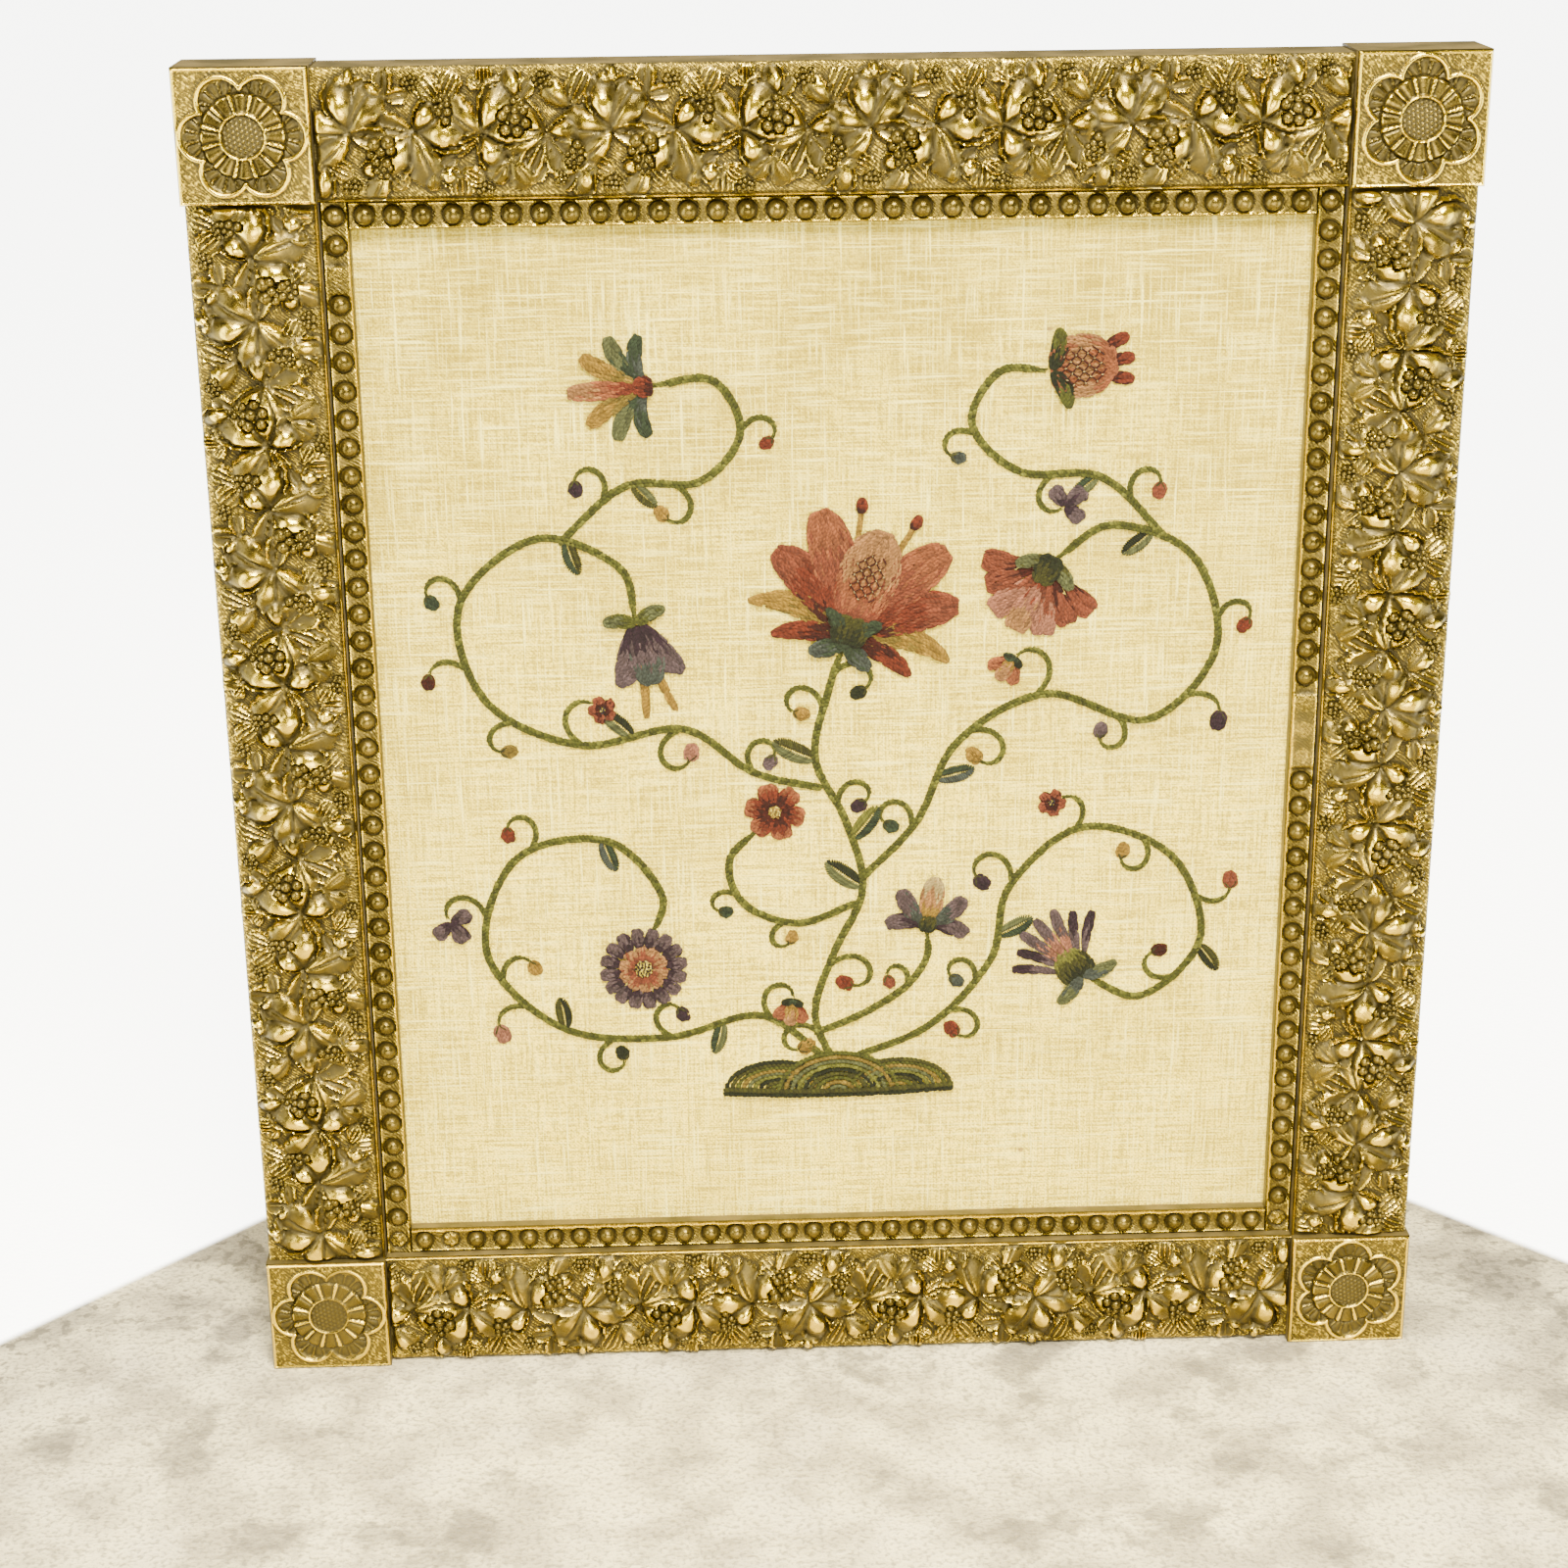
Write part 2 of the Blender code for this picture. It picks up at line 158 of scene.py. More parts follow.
class Shader:
    """A Principled material under way."""

    def __init__(self, name: str) -> None:
        """Makes the material under its name.

        Args:
            name: The material's name.
        """
        self.material = bpy.data.materials.new(name)
        self.material.use_nodes = True
        self.tree = self.material.node_tree
        self.surface = self.tree.nodes["Principled BSDF"]

    def add(self, kind: str, settings: dict | None = None, sockets: dict | None = None,
            output: int | str = 0) -> Socket:
        """Adds a node.

        Args:
            kind: The node's type.
            settings: Its properties, set first.
            sockets: Values or links of its inputs, by name or number.
            output: The output that is wanted.

        Returns:
            That output, wrapped.
        """
        node = self.tree.nodes.new(kind)
        for key, value in (settings or {}).items():
            setattr(node, key, value)
        for key, value in (sockets or {}).items():
            self.feed(node.inputs[key], value)
        return Socket(self, node.outputs[output])

    def feed(self, socket: bpy.types.NodeSocket, value: Value | Colour) -> None:
        """Links a wrapped socket, or sets a plain value.

        Args:
            socket: The input.
            value: What goes into it.
        """
        if isinstance(value, Socket):
            self.tree.links.new(value.link, socket)
        elif socket.type == "RGBA":
            socket.default_value = (*value, 1.0)
        else:
            socket.default_value = value

    def attribute(self, name: str, output: str = "Fac") -> Socket:
        """Reads a mesh attribute."""
        return self.add("ShaderNodeAttribute", {"attribute_name": name}, output=output)

    def place(self, scale: Colour = (1.0, 1.0, 1.0)) -> Socket:
        """Object coordinates, stretched by a scale."""
        coordinates = self.add("ShaderNodeTexCoord", output="Object")
        return self.add("ShaderNodeMapping", None, {"Vector": coordinates, "Scale": scale})

    def plane(self) -> tuple[Socket, Socket]:
        """The object coordinates x and z, which span the panel's plane.

        Returns:
            Both, wrapped.
        """
        coordinates = self.add("ShaderNodeTexCoord", output="Object")
        across = self.add("ShaderNodeSeparateXYZ", None, {0: coordinates})
        return across, Socket(self, across.link.node.outputs[2])

    def noise(self, scale: float, detail: float = 3.0, stretch: Colour = (1.0, 1.0, 1.0)) -> Socket:
        """Noise on object coordinates, from 0 to 1."""
        sockets = {"Vector": self.place(stretch), "Scale": scale, "Detail": detail, "Roughness": 0.55}
        return self.add("ShaderNodeTexNoise", None, sockets)

    def step(self, value: Value, low: float, high: float) -> Socket:
        """A smooth step from 0 at low to 1 at high."""
        sockets = {0: value, 1: low, 2: high}
        return self.add("ShaderNodeMapRange", {"interpolation_type": "SMOOTHSTEP"}, sockets)

    def mix(self, factor: Value, first: Socket | Colour, second: Socket | Colour,
            blend: str = "MIX") -> Socket:
        """Mixes two colours."""
        settings = {"data_type": "RGBA", "blend_type": blend}
        return self.add("ShaderNodeMix", settings, {0: factor, 6: first, 7: second}, output=2)

    def finish(self, colour: Socket, roughness: Value, height: Socket, bump: float, reach: float,
               metallic: Value = 0.0) -> Material:
        """Wires the surface.

        Args:
            colour: The base colour.
            roughness: The roughness.
            height: What the bump follows.
            bump: The bump's strength.
            reach: The bump's distance in metres.
            metallic: The metallic value.

        Returns:
            The finished material.
        """
        normal = self.add("ShaderNodeBump", None, {"Strength": bump, "Distance": reach, "Height": height})
        self.feed(self.surface.inputs["Base Color"], colour)
        self.feed(self.surface.inputs["Roughness"], roughness)
        self.feed(self.surface.inputs["Metallic"], metallic)
        self.feed(self.surface.inputs["Normal"], normal)
        return self.material


@dataclass(frozen=True)
class GiltFinish:
    """Old gilding over gesso: bright on the crests, as gilding worn bright with a painted highlight, and
    toned brown in the hollows, as grime with painted shade.
    """

    name: str
    # The crests' colour: gold worn bright, raised to a painted highlight.
    crest: Colour = (0.92, 0.67, 0.045)
    bright: Colour = (0.186, 0.136, 0.024)
    dull: Colour = (0.070, 0.052, 0.0092)
    # The hollows' dark colour: real grime and patina with painted shade; on the sides it is a random patina
    # only.
    toned: Colour = (0.048, 0.037, 0.008)
    flank: Colour = (0.130, 0.098, 0.034)
    wood: Colour = (0.34, 0.22, 0.12)
    wood_grain: Colour = (0.23, 0.145, 0.075)
    # How strongly the hollows darken, as grime with painted shade.
    tone: float = 1.0
    hatch_pitch: float = 1.6 * MM

    def make(self) -> Material:
        """Builds the material, which reads the attributes hollow, ground and part.

        Part is 0 on the relief, 1 on the plain sides and 2 on the back, which shows bare wood.

        Returns:
            The material.
        """
        shader = Shader(self.name)
        mix, step, noise = shader.mix, shader.step, shader.noise
        hollow = shader.attribute("hollow")
        ground = shader.attribute("ground")
        part = shader.attribute("part")
        patina = noise(38.0, 4.0)
        speck = noise(620.0, 2.0)
        fine = noise(1800.0, 2.0)
        hatch = self._hatch(shader)

        # Darker in the hollows: partly real grime and patina, partly painted shade where less light falls.
        hollow_dirt_and_shade = step(hollow + (patina - 0.5) * 0.30 + (speck - 0.5) * 0.22, 0.48, 0.92)
        gold = mix(step(patina, 0.30, 0.72), self.dull, self.bright)
        # Brighter gold away from the hollows, and the crest colour on the crests: partly gilding worn bright,
        # partly a painted highlight.
        gold = mix(step(hollow, 0.46, 0.30), gold, self.bright)
        rubbed_and_highlit = step(hollow, 0.42, 0.22)
        gold = mix(rubbed_and_highlit * 0.85, gold, self.crest)
        gold = mix(ground * hatch * 0.9, gold, self.bright)
        # Painted glints: specks of the crest colour on the punched ground.
        gold = mix(ground * step(speck, 0.52, 0.60) * 0.9, gold, self.crest)
        # Grime with painted shade in the hollows, and the dark between the hatched lines, turn the gold to
        # the toned colour.
        dirt_and_shade = (hollow_dirt_and_shade * self.tone + ground * (1.0 - hatch) * 0.55).least(1.0)
        gold = mix(dirt_and_shade, gold, self.toned)

        flank = mix(step(patina, 0.3, 0.7), self.flank, self.toned)
        grain = noise(26.0, 5.0, (1.0, 1.0, 9.0))
        wood = mix(step(grain, 0.3, 0.7), self.wood, self.wood_grain)
        is_flank = step(part, 0.30, 0.60)
        is_back = step(part, 1.30, 1.60)
        colour = mix(is_back, mix(is_flank, gold, flank), wood)
        metallic = (0.96 - dirt_and_shade * 0.35) * (1.0 - is_flank * 0.92) * (1.0 - is_back)
        roughness = 0.24 - rubbed_and_highlit * 0.07 + dirt_and_shade * 0.22 + (speck - 0.5) * 0.16
        roughness = roughness + ground * 0.12 + is_flank * 0.32 + is_back * 0.20
        height = fine * 0.22 + speck * (0.40 + ground * 1.8) + hatch * ground * 2.4
        return shader.finish(colour, roughness, height, 0.75, 0.5 * MM, metallic)

    def _hatch(self, shader: Shader) -> Socket:
        """Fine tooled lines that curve about: the sine of a slanting run, shifted by slow noise.

        Args:
            shader: The material under way.

        Returns:
            Their mask.
        """
        across, up = shader.plane()
        swirl = shader.noise(46.0, 1.0)
        second = shader.noise(85.0, 1.0, (1.0, 1.0, 0.6))
        run = (across * 0.66 + up * 0.75) * (2 * math.pi / self.hatch_pitch) + swirl * 46.0 + second * 14.0
        return shader.step(run.sine() * 0.5 + 0.5 + (shader.noise(520.0, 1.0) - 0.5) * 1.5, 0.20, 0.75)


@dataclass(frozen=True)
class LinenFinish:
    """Cream plain weave with slubs both ways, a few brown spots, a cloudy mottle, and painted shade that
    darkens it towards the top.
    """

    name: str = "aged_linen"
    pale: Colour = (0.98, 0.785, 0.096)
    shade: Colour = (0.25, 0.187, 0.018)
    slub: Colour = (1.00, 0.920, 0.260)
    spot: Colour = (0.20, 0.12, 0.05)
    pitch: float = 1.10 * MM
    spots: tuple[tuple[float, float, float], ...] = ()

    def make(self) -> Material:
        """Builds the material on object coordinates: x runs with the weft and z with the warp.

        Returns:
            The material.
        """
        shader = Shader(self.name)
        mix, step, noise = shader.mix, shader.step, shader.noise
        threads = 1.0 / self.pitch
        weft = noise(1.0, 2.5, (34.0, 1.0, 0.85 * threads))
        warp = noise(1.0, 2.5, (0.85 * threads, 1.0, 30.0))
        long_weft = noise(1.0, 1.5, (15.0, 1.0, 0.50 * threads))
        long_warp = noise(1.0, 1.5, (0.50 * threads, 1.0, 19.0))
        cloud = noise(14.0, 4.0)
        grain = noise(820.0, 4.0)
        across, up = shader.plane()
        wander = (weft - 0.5) * 1.6
        stray = (warp - 0.5) * 1.6
        turn = math.pi * threads
        over = (across * turn + wander).sine() * (up * turn + stray).sine()

        # Cloudy mottle, and painted shade that darkens the cloth towards the top.
        mottle_and_painted_top_shade = step(cloud, 0.40, 0.66) * 0.26 + step(up, 0.16, 0.66) * 0.42
        tint = mix(mottle_and_painted_top_shade, self.pale, self.shade)
        gap = step(weft, 0.50, 0.36).most(step(warp, 0.48, 0.35))
        tint = mix(gap * 0.55, tint, self.shade)
        tint = mix(step(grain, 0.54, 0.40) * 0.62, tint, self.shade)
        thick = step(long_weft, 0.60, 0.70).most(step(long_warp, 0.60, 0.70))
        streak = (step(weft, 0.52, 0.66).most(step(warp, 0.54, 0.68)) * 0.45).most(thick * 0.65)
        tint = mix(streak, tint, self.slub)
        tint = mix(step(over, 0.0, 0.8) * 0.12, tint, self.shade)
        for x, z, reach in self.spots:
            away = ((across - x) * (across - x) + (up - z) * (up - z)) ** 0.5
            ragged = away + (weft - 0.5) * 1.2 * reach
            tint = mix(step(ragged, reach, 0.35 * reach) * 0.75, tint, self.spot)
        height = over * 0.40 + grain * 0.8 + streak * 0.9 - gap * 0.6
        shader.surface.inputs["Specular IOR Level"].default_value = 0.12
        return shader.finish(tint, 0.92, height, 0.80, 0.45 * MM)


@dataclass(frozen=True)
class YarnFinish:
    """Two-ply wool: the stitch's own tint, a soft twist across it painted as shaded and lit bands, and a
    little fuzz of colour.
    """

    name: str = "crewel_wool"
    twist_pitch: float = 2.4 * MM
    twist_shade: Colour = (0.38, 0.36, 0.33)
    lit: Colour = (1.34, 1.30, 1.18)

    def make(self) -> Material:
        """Builds the material, which reads the attributes tint, run and side.

        Returns:
            The material.
        """
        shader = Shader(self.name)
        mix, step, noise = shader.mix, shader.step, shader.noise
        run = shader.attribute("run")
        side = shader.attribute("side")
        fleck = noise(900.0, 2.0)
        cast = noise(120.0, 2.0)
        twist = (run * (2.0 * math.pi / self.twist_pitch) + side * 1.9).sine() * 0.5 + 0.5
        tint = shader.attribute("tint", "Color")
        # Painted shade and painted light: darker and lighter copies of the tint, banded by the twist.
        twist_shade = mix(1.0, tint, self.twist_shade, "MULTIPLY")
        lit = mix(1.0, tint, self.lit, "MULTIPLY")
        colour = mix(twist * 0.45 + fleck * 0.4, twist_shade, lit)
        colour = mix(step(cast, 0.35, 0.75) * 0.35, colour, tint)
        for name, value in (("Specular IOR Level", 0.15), ("Sheen Weight", 0.05), ("Sheen Roughness", 0.6)):
            shader.surface.inputs[name].default_value = value
        return shader.finish(colour, 0.88, twist + fleck * 0.7, 0.55, 0.4 * MM)


@dataclass(frozen=True)
class FloorFinish:
    """Mottled grey concrete in front, and a white sheet beyond two slanting lines behind the panel."""

    name: str = "studio_floor"
    corner: float = 0.555
    slant: float = 1.08
    glow: float = 7.0
    shadow: Colour = (0.50, 0.450, 0.330)
    pale: Colour = (0.94, 0.860, 0.590)
    stained: Colour = (0.19, 0.175, 0.150)
    edge: Colour = (0.34, 0.315, 0.270)
    bleached: Colour = (0.90, 0.830, 0.620)
    dark: Colour = (0.085, 0.080, 0.070)
    gritty: Colour = (0.22, 0.205, 0.170)
    near: Colour = (0.30, 0.280, 0.250)
    sheet: Colour = (0.90, 0.900, 0.890)
    light: Colour = (1.0, 1.0, 0.95)

    def make(self) -> Material:
        """Builds the material on object coordinates; the sheet's light is its own.

        Returns:
            The material.
        """
        shader = Shader(self.name)
        mix, step, noise = shader.mix, shader.step, shader.noise
        across = shader.plane()[0]
        back = Socket(shader, across.link.node.outputs[1])
        size = (across * across) ** 0.5
        mottle = noise(19.0, 7.0)
        stain = noise(13.0, 8.0)
        grit = noise(330.0, 3.0)
        fleck = noise(110.0, 5.0)
        at_edge = step(size + back * 0.7, 0.26, 0.62)
        flecked = step(fleck + (stain - 0.5) * 0.5, 0.54, 0.64) * (0.30 + at_edge * 0.55)
        beyond = step(back + size * self.slant, self.corner - 0.006, self.corner + 0.006)
        colour = mix(step(mottle, 0.36, 0.64), self.shadow, self.pale)
        for mask, coat in (
            (step(stain + at_edge * 0.12, 0.56, 0.63) * 0.6, self.stained),
            (at_edge * 0.45, self.edge),
            (step(stain, 0.44, 0.36) * 0.6, self.bleached),
            (flecked, self.dark),
            (step(grit, 0.48, 0.64) * 0.62, self.gritty),
            # Painted shade: the floor in front, out of sight, is darker, so that the gilding mirrors a dark
            # room.
            (step(back, -0.35, -0.80), self.near),
            (beyond, self.sheet),
        ):
            colour = mix(mask, colour, coat)
        light = mix(beyond, (0.0, 0.0, 0.0), self.light)
        shader.feed(shader.surface.inputs["Emission Color"], light)
        shader.surface.inputs["Emission Strength"].default_value = self.glow
        return shader.finish(colour, 0.75, fleck * 0.6 + grit, 0.85, 1.8 * MM)


def ramp(value: Array) -> Array:
    """The value, kept between 0 and 1."""
    return np.clip(value, 0.0, 1.0)


def arc(value: Array) -> Array:
    """A half circle's height: the root of 1 less the value's square, and 0 where that is negative."""
    return np.sqrt(np.clip(1.0 - value**2, 0.0, None))


def phase(value: Array, pitch: float) -> Array:
    """How far the value is from the nearest multiple of the pitch: 0 on it, 1 half way between two."""
    return np.abs((value / pitch + 0.5) % 1.0 - 0.5) * 2.0


def bearing(degrees: float) -> Array:
    """The unit direction in the panel's plane at an angle from x."""
    turn = math.radians(degrees)
    return np.array((math.cos(turn), math.sin(turn)))


def grid_quads(grid: Array) -> Array:
    """The quads between neighbours in a grid of vertex numbers."""
    return np.stack((grid[:-1, :-1], grid[:-1, 1:], grid[1:, 1:], grid[1:, :-1]), axis=-1).reshape(-1, 4)


def ring_faces(count: int, sides: int, rings: int) -> list[Array]:
    """The faces of many like closed forms, each of a few rings of corners between two poles.

    A form's corners are numbered ring by ring, and then come the pole at its first ring and the one
    at its last. The rings are joined by quads, and each pole to its ring by triangles.

    Args:
        count: How many forms there are.
        sides: Corners of a ring.
        rings: Rings of a form.

    Returns:
        The quads and the triangles.
    """
    here = np.arange(sides)
    after = (here + 1) % sides
    band = np.stack((here, after, sides + after, sides + here), axis=1)
    quads = np.concatenate([band + number * sides for number in range(rings - 1)])
    total, last = rings * sides, (rings - 1) * sides
    caps = np.concatenate((np.stack((after, here, np.full(sides, total)), axis=1),
                           np.stack((last + here, last + after, np.full(sides, total + 1)), axis=1)))
    offset = (np.arange(count) * (total + 2))[:, None, None]
    return [(quads + offset).reshape(-1, 4), (caps + offset).reshape(-1, 3)]


def make_piece(name: str, points: Array, faces: Sequence[Array], material: Material, slot: str,
               values: dict[str, Array] | None = None, tints: Array | None = None,
               crease: float = 55.0) -> Piece:
    """Makes a piece from arrays and lets it ride on the body.

    Args:
        name: The piece's name.
        points: Its vertices as rows of x, y, z.
        faces: Arrays of vertex numbers, each with one row for each face of its size.
        material: Its finish.
        slot: The record's material slot; not used.
        values: Point attributes of one number.
        tints: Colours of the vertices.
        crease: The angle in degrees past which an edge is sharp.

    Returns:
        The new object.
    """
    mesh = bpy.data.meshes.new(name)
    sizes = np.concatenate([np.full(len(rows), rows.shape[1]) for rows in faces])
    corners = np.concatenate([rows.ravel() for rows in faces])
    mesh.vertices.add(len(points))
    mesh.vertices.foreach_set("co", np.asarray(points, dtype=np.float32).ravel())
    mesh.loops.add(len(corners))
    mesh.loops.foreach_set("vertex_index", corners.astype(np.int32))
    mesh.polygons.add(len(sizes))
    mesh.polygons.foreach_set("loop_start", (np.cumsum(sizes) - sizes).astype(np.int32))
    mesh.update(calc_edges=True)
    for key, value in (values or {}).items():
        layer = mesh.attributes.new(key, "FLOAT", "POINT")
        layer.data.foreach_set("value", np.asarray(value, dtype=np.float32).ravel())
    if tints is not None:
        layer = mesh.attributes.new("tint", "FLOAT_COLOR", "POINT")
        full = np.concatenate((tints, np.ones((len(tints), 1))), axis=1)
        layer.data.foreach_set("color", full.astype(np.float32).ravel())
    mesh.shade_smooth()
    mesh.set_sharp_from_angle(angle=math.radians(crease))
    mesh.materials.append(material)
    piece = bpy.data.objects.new(name, mesh)
    bpy.context.scene.collection.objects.link(piece)
    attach(piece, BODY)
    LOG.info("%s: %d points, %d faces", name, len(points), len(sizes))
    return piece


@dataclass(frozen=True)
class Seat:
    """Where a piece lies: its middle in the plane, its two directions there and its back."""

    centre: tuple[float, float]
    along: tuple[float, float]
    outward: tuple[float, float]
    length: float
    width: float
    back: float

    @classmethod
    def of_node(cls, node: str, along: tuple[float, float]) -> Seat:
        """Reads a CAD node's box; outward is along, turned a quarter anticlockwise.

        Args:
            node: The node's name.
            along: The seat's first direction.

        Returns:
            The seat.
        """
        low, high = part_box(node)
        span = (high[0] - low[0], high[2] - low[2])
        upright = abs(along[1]) > abs(along[0])
        centre = ((low[0] + high[0]) / 2, (low[2] + high[2]) / 2)
        length, width = (span[1], span[0]) if upright else span
        return cls(centre, along, (-along[1], along[0]), length, width, high[1])

    def place(self, u: Array, v: Array, rise: Array) -> Array:
        """Rows of x, y, z for points at u along, v outward and a rise above the back."""
        x, z = (self.centre[k] + u * self.along[k] + v * self.outward[k] for k in (0, 1))
        return np.stack((x, self.back - rise, z), axis=-1).reshape(-1, 3)


@dataclass
class Relief:
    """A height field over a seat, with each point's share of bare ground and its painted shading: above 0 a
    painted shade, below 0 a painted highlight.

    Its level is where height 0 lies above the seat's back.
    """

    seat: Seat
    level: float
    cell: float
    length: float = field(init=False)
    width: float = field(init=False)
    u: Array = field(init=False)
    v: Array = field(init=False)
    height: Array = field(init=False)
    ground: Array = field(init=False)
    painted_shading: Array = field(init=False)

    def __post_init__(self) -> None:
        """Lays the empty grid."""
        self.length, self.width = self.seat.length, self.seat.width
        self.u = np.linspace(-self.length / 2, self.length / 2, round(self.length / self.cell) + 1)
        self.v = np.linspace(-self.width / 2, self.width / 2, round(self.width / self.cell) + 1)
        self.height = np.zeros((len(self.v), len(self.u)))
        self.ground = np.ones_like(self.height)
        self.painted_shading = np.zeros_like(self.height)

    def window(self, u: float, v: float, reach: float) -> tuple[tuple[slice, slice], Array, Array]:
        """The grid's patch round a point, and each patch point's offset from it.

        Args:
            u: The point's place along.
            v: Its place outward.
            reach: Half the patch's side.

        Returns:
            The patch's slices and the offsets both ways.
        """
        columns = slice(*np.searchsorted(self.u, (u - reach, u + reach)))
        rows = slice(*np.searchsorted(self.v, (v - reach, v + reach)))
        across, up = np.meshgrid(self.u[columns] - u, self.v[rows] - v)
        return (rows, columns), across, up

    def cover(self, area: tuple[slice, slice], height: Array, mask: Array, lip: float = 0.0) -> None:
        """Lays a form over a patch: where the mask holds, it stands at least a lip above what is there.

        Args:
            area: The patch's slices.
            height: The form's heights.
            mask: Where the form is.
            lip: The least step up.
        """
        below = self.height[area]
        self.height[area] = np.where(mask, np.maximum(height, below + lip), below)
        self.ground[area] = np.where(mask, 0.0, self.ground[area])

    def blurred(self, spread: float) -> Array:
        """The heights after a round blur of the given spread, worked out with a Fourier transform.

        Args:
            spread: The blur's standard deviation.

        Returns:
            The soft heights.
        """
        pad = int(3 * spread / self.cell) + 1
        wide = np.pad(self.height, pad, mode="edge")
        rows = np.fft.fftfreq(wide.shape[0])[:, None]
        columns = np.fft.rfftfreq(wide.shape[1])[None, :]
        spread_cells = spread / self.cell
        falloff = np.exp(-2.0 * (math.pi * spread_cells) ** 2 * (rows**2 + columns**2))
        soft = np.fft.irfft2(np.fft.rfft2(wide) * falloff, s=wide.shape)
        return soft[pad:-pad, pad:-pad]

    def hollow(self) -> Array:
        """How far each point lies below its surroundings, 0.5 when level, 1 in a hollow and 0 on a crest,
        with the painted shading added. The gilding paints shade where this is high and highlights where it is
        low, besides its real grime and worn gold.
        """
        near, far = (self.blurred(spread) - self.height for spread in (1.3 * MM, 4.0 * MM))
        return ramp(0.5 + 0.40 * (near / (0.8 * MM)) + 0.22 * (far / (4.0 * MM)) + self.painted_shading)

    def slab(self, name: str, material: Material, slot: str) -> Piece:
        """Makes the closed body: the relief in front, plain sides and a flat back.

        The front is the grid at level plus height. Its border is carried down the sides in
        three more rings, and the last ring closes as one flat face.

        Args:
            name: The piece's name.
            material: Its finish.
            slot: The record's material slot.

        Returns:
            The new object.
        """
        columns, rows = len(self.u), len(self.v)
        grid = np.arange(rows * columns).reshape(rows, columns)
        border = np.concatenate((grid[0, :-1], grid[:-1, -1], grid[-1, :0:-1], grid[:0:-1, 0]))
        across, up = np.meshgrid(self.u, self.v)
        front = self.seat.place(across, up, self.level + self.height)
        u, v = across.ravel()[border], up.ravel()[border]
        edge_rise = self.level + self.height.ravel()[border]
        shoulder = self.seat.place(u, v, edge_rise - 0.6 * MM)
        foot = self.seat.place(u, v, np.full_like(u, 0.5 * MM))
        base = self.seat.place(u * 0.999, v * 0.995, np.zeros_like(u))
        count = len(border)
        rings = [border] + [rows * columns + number * count + np.arange(count) for number in range(3)]
        quads = [grid_quads(grid)]
        for upper, lower in zip(rings, rings[1:]):
            quads.append(np.stack((upper, lower, np.roll(lower, -1), np.roll(upper, -1)), axis=1))
        plain = np.full(count, 0.5)
        values = {
            "hollow": np.concatenate((self.hollow().ravel(), plain, plain, plain)),
            "ground": np.concatenate((self.ground.ravel(), 0 * plain, 0 * plain, 0 * plain)),
            "part": np.concatenate((0 * front[:, 0], 2 * plain, 2 * plain, 4 * plain)),
        }
        points = np.concatenate((front, shoulder, foot, base))
        faces = [np.concatenate(quads), rings[-1][::-1][None, :]]
        return make_piece(name, points, faces, material, slot, values)


# Wools that often go together
PURPLES = (Yarn.PLUM, Yarn.LILAC)
RUSTS = (Yarn.MAROON, Yarn.BRICK)
DARK_GREENS = (Yarn.FOREST, Yarn.MOSS)
SEA_GREENS = (Yarn.TEAL, Yarn.SAGE)


class LobeForm(Enum):
    """How a leaf's lobe is modelled across its width."""

    PUFFED = "a smooth swelling with a crease"
    RIMMED = "a smooth dome inside a groove and a rolled edge"
    DISHED = "a hollow with a rolled edge and a raised midrib"
    FLUTED = "sharp ridges that run from root to tip"

    @property
    def painted_shading(self) -> float:
        """How much darker the lobe's body is than a plain slope: painted shade for the dark room that a
        smooth lobe mirrors.
        """
        return {LobeForm.PUFFED: 0.30, LobeForm.RIMMED: 0.28, LobeForm.DISHED: 0.24}.get(self, 0.10)

    def profile(self, t: Array, s: Array, side: Array) -> Array:
        """The share of the full rise at t along the lobe and s across it, with side in metres.

        Args:
            t: From 0 at the root to 1 at the tip.
            s: From -1 at one edge to 1 at the other.
            side: The distance from the midrib.

        Returns:
            The share at each point.
        """
        n = np.abs(s)
        if self is LobeForm.PUFFED:
            crease = 0.22 * np.exp(-(((s - 0.22) / 0.09) ** 2)) * (t > 0.1)
            return 0.30 + 0.70 * (1.0 - n**2.2) ** 0.6 - crease
        if self is LobeForm.RIMMED:
            dome = 0.95 * np.sqrt(np.clip(1.0 - (n / 0.74) ** 2 - ((t - 0.5) / 0.46) ** 2, 0.0, None))
            return 0.24 + np.maximum(dome, 0.56 * np.exp(-(((n - 0.88) / 0.10) ** 2)))
        if self is LobeForm.FLUTED:
            return 0.40 + 0.50 * (1.0 - np.abs(np.sin(2.0 * math.pi * s))) * (1.0 - 0.3 * n)
        rim = ramp((1.0 - n) / 0.12) ** 0.5
        rib = 0.30 * np.exp(-((side / (0.60 * MM)) ** 2)) * (1.0 - t) ** 0.2
        return (0.26 + 0.70 * n**1.5) * rim + rib


